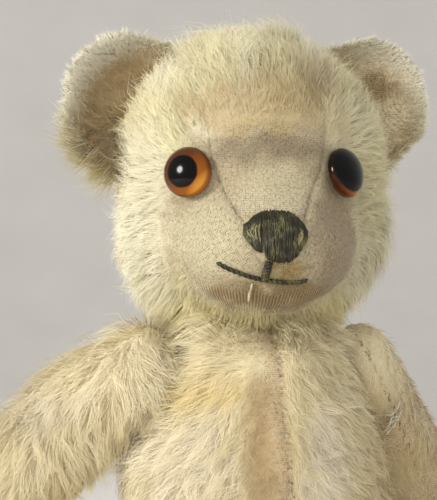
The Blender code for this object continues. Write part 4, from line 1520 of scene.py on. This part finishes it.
# %% Pale gap threads and painted sheen on both sides of the nose
stitches = []
for i in range(4):
    stitches.append(nose_thread(
        (-0.42 - 0.06 * i, 0.64 - 0.10 * i), (-0.47 - 0.05 * i, -0.42 + 0.08 * i),
        -0.06 - 0.05 * i, 0.0021, 0.00018,
    ))
for i in range(4):
    stitches.append(nose_thread(
        (0.66 + 0.05 * i, 0.55 - 0.07 * i), (0.64 + 0.04 * i, -0.62 + 0.08 * i), 0.05, 0.0021, 0.00020,
    ))
threads("nose_gaps_and_sheen", "head", *zip(*stitches), gap_and_sheen_thread)


# %% [markdown]
# ## The sewn mouth
#
# The mouth is one long stitch of two-ply thread that sags in the middle and slopes down to
# the bear's left, tied to the nose by a short, thick upright one. Real thread is twisted, so
# each ply winds round its path. One loose pale end hangs on the chin.


# %% Twist plies round a path
def twisted(path, spread, turns, plies=2):
    """Plies that wind round a path."""
    wound = []
    for ply in range(plies):
        points = []
        for k, point in enumerate(path):
            ahead = path[min(k + 1, len(path) - 1)] - path[max(k - 1, 0)]
            level = abs(ahead.normalized().z) < 0.9
            first = ahead.cross(Vector((0, 0, 1)) if level else Vector((1, 0, 0))).normalized()
            second = ahead.cross(first).normalized()
            angle = 2 * math.pi * (turns * k / (len(path) - 1) + ply / plies)
            points.append(point + (first * math.cos(angle) + second * math.sin(angle)) * spread)
        wound.append(points)
    return wound


# %% Sew the mouth
MOUTH_HEIGHT, MOUTH_SIDE, MOUTH_HALF_WIDTH = 0.0155, -0.0030, 0.0133
MOUTH_DROP, MOUTH_LEAN, MOUTH_STEPS = 0.0022, 0.0026, 60

mouth_path = [
    on_face(
        MOUTH_SIDE + share * MOUTH_HALF_WIDTH,
        MOUTH_HEIGHT - MOUTH_DROP * (1 - share ** 2) - MOUTH_LEAN * share,
        0.0006 - 0.0012 * abs(share) ** 12,
    )
    for share in (2 * k / MOUTH_STEPS - 1 for k in range(MOUTH_STEPS + 1))
]
mouth = threads("mouth_threads", "head", twisted(mouth_path, 0.00033, 9), [0.00045] * 2, dark_thread)
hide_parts("mouth_stitch")

low, high = MOUTH_HEIGHT - MOUTH_DROP, NOSE_MIDDLE - NOSE_HALF_HEIGHT
upright_path = [
    on_face(MOUTH_SIDE + 0.0010 * k / 24, low + (high - low) * k / 24, 0.0007) for k in range(25)
]
plies = twisted(upright_path, 0.00075, 1.5, 4)
philtrum = threads("philtrum_threads", "head", plies, [0.00055] * 4, dark_thread)
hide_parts("philtrum_stitch")

chin_path = [on_face(-0.0062 + 0.0001 * math.sin(k), 0.0122 - 0.0052 * k / 8, 0.0004) for k in range(9)]
threads("chin_thread", "head", [chin_path], [0.00042], pale_thread)

# %% [markdown]
# ## A darn in the arm
#
# The worn arm has a short tear that was closed by hand, with crossing white stitches. Rays
# cast from the front find where each one lies on the cloth.

# %% Darn the arm
arm_tree = BVHTree.FromObject(limbs["arm_left"], bpy.context.evaluated_depsgraph_get())


def on_arm(across, height, over):
    """A point over the front of the left arm."""
    start = view_right * across + Vector((0, 0, height)) + view_back * 0.3
    place, normal, _, _ = arm_tree.ray_cast(start, -view_back)
    return place + normal * over


paths = []
for k in range(9):
    across = 0.0425 + random.uniform(-0.0016, 0.0016)
    height = 0.1245 - 0.0065 * k / 8
    half, lean = random.uniform(0.0010, 0.0024), random.uniform(-0.2, 1.4)
    paths.append([
        on_arm(across + half * share, height + lean * half * share, 0.0036 - 0.0026 * share ** 2)
        for share in (-1, -0.6, -0.2, 0.2, 0.6, 1)
    ])
threads("arm_darn", "arm_left", paths, [0.00026] * 9, pale_thread)

# %% [markdown]
# ## Joints and wires
#
# The card discs, steel washers and split pins sit inside the cloth. They are carried over as
# they are and get a look of their own: pressed brown card, and steel gone a little dull.

# %% Pressed card
card, tree, shader = new_material("pressed_card", 0.85)
pulp = noise(tree, object_place(tree), 900.0, 5.0, 0.7)
browns = colour_ramp(tree, pulp, [(0.35, (0.13, 0.075, 0.035)), (0.65, (0.30, 0.20, 0.11))])
tree.links.new(browns, shader.inputs["Base Color"])
give_bump(tree, shader, pulp, 0.4, 0.0003)

# %% Dull steel
steel, tree, shader = new_material("dull_steel", 0.4)
haze = noise(tree, object_place(tree), 700.0, 4.0)
greys = colour_ramp(tree, haze, [(0.35, (0.30, 0.27, 0.24)), (0.60, (0.56, 0.55, 0.53))])
tree.links.new(greys, shader.inputs["Base Color"])
tree.links.new(ranged(tree, haze, 0.25, 0.6), shader.inputs["Roughness"])
shader.inputs["Metallic"].default_value = 1.0

# %% Give them out
looks = {"_disc_": card, "_washer_": steel, "_pin": steel, "eye_wire": steel}
for word, look in looks.items():
    carried = [node for node_name, node in nodes.items() if word in node_name]
    for node in carried:
        node.data.materials.clear()
        node.data.materials.append(look)
    print(look.name, "on", len(carried), "nodes")

# %% [markdown]
# ## Measure and finish
#
# The dressed bear may stand a little proud of the imported one, by its pile, and no more. Its
# box is measured, and the triangles that were added are counted before we finish.

# %% Measure and finish
low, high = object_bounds()
triangles = sum(
    sum(len(polygon.vertices) - 2 for polygon in piece.data.polygons)
    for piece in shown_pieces() if piece.type == "MESH" and "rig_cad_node" not in piece
)
print("triangles added:", triangles)
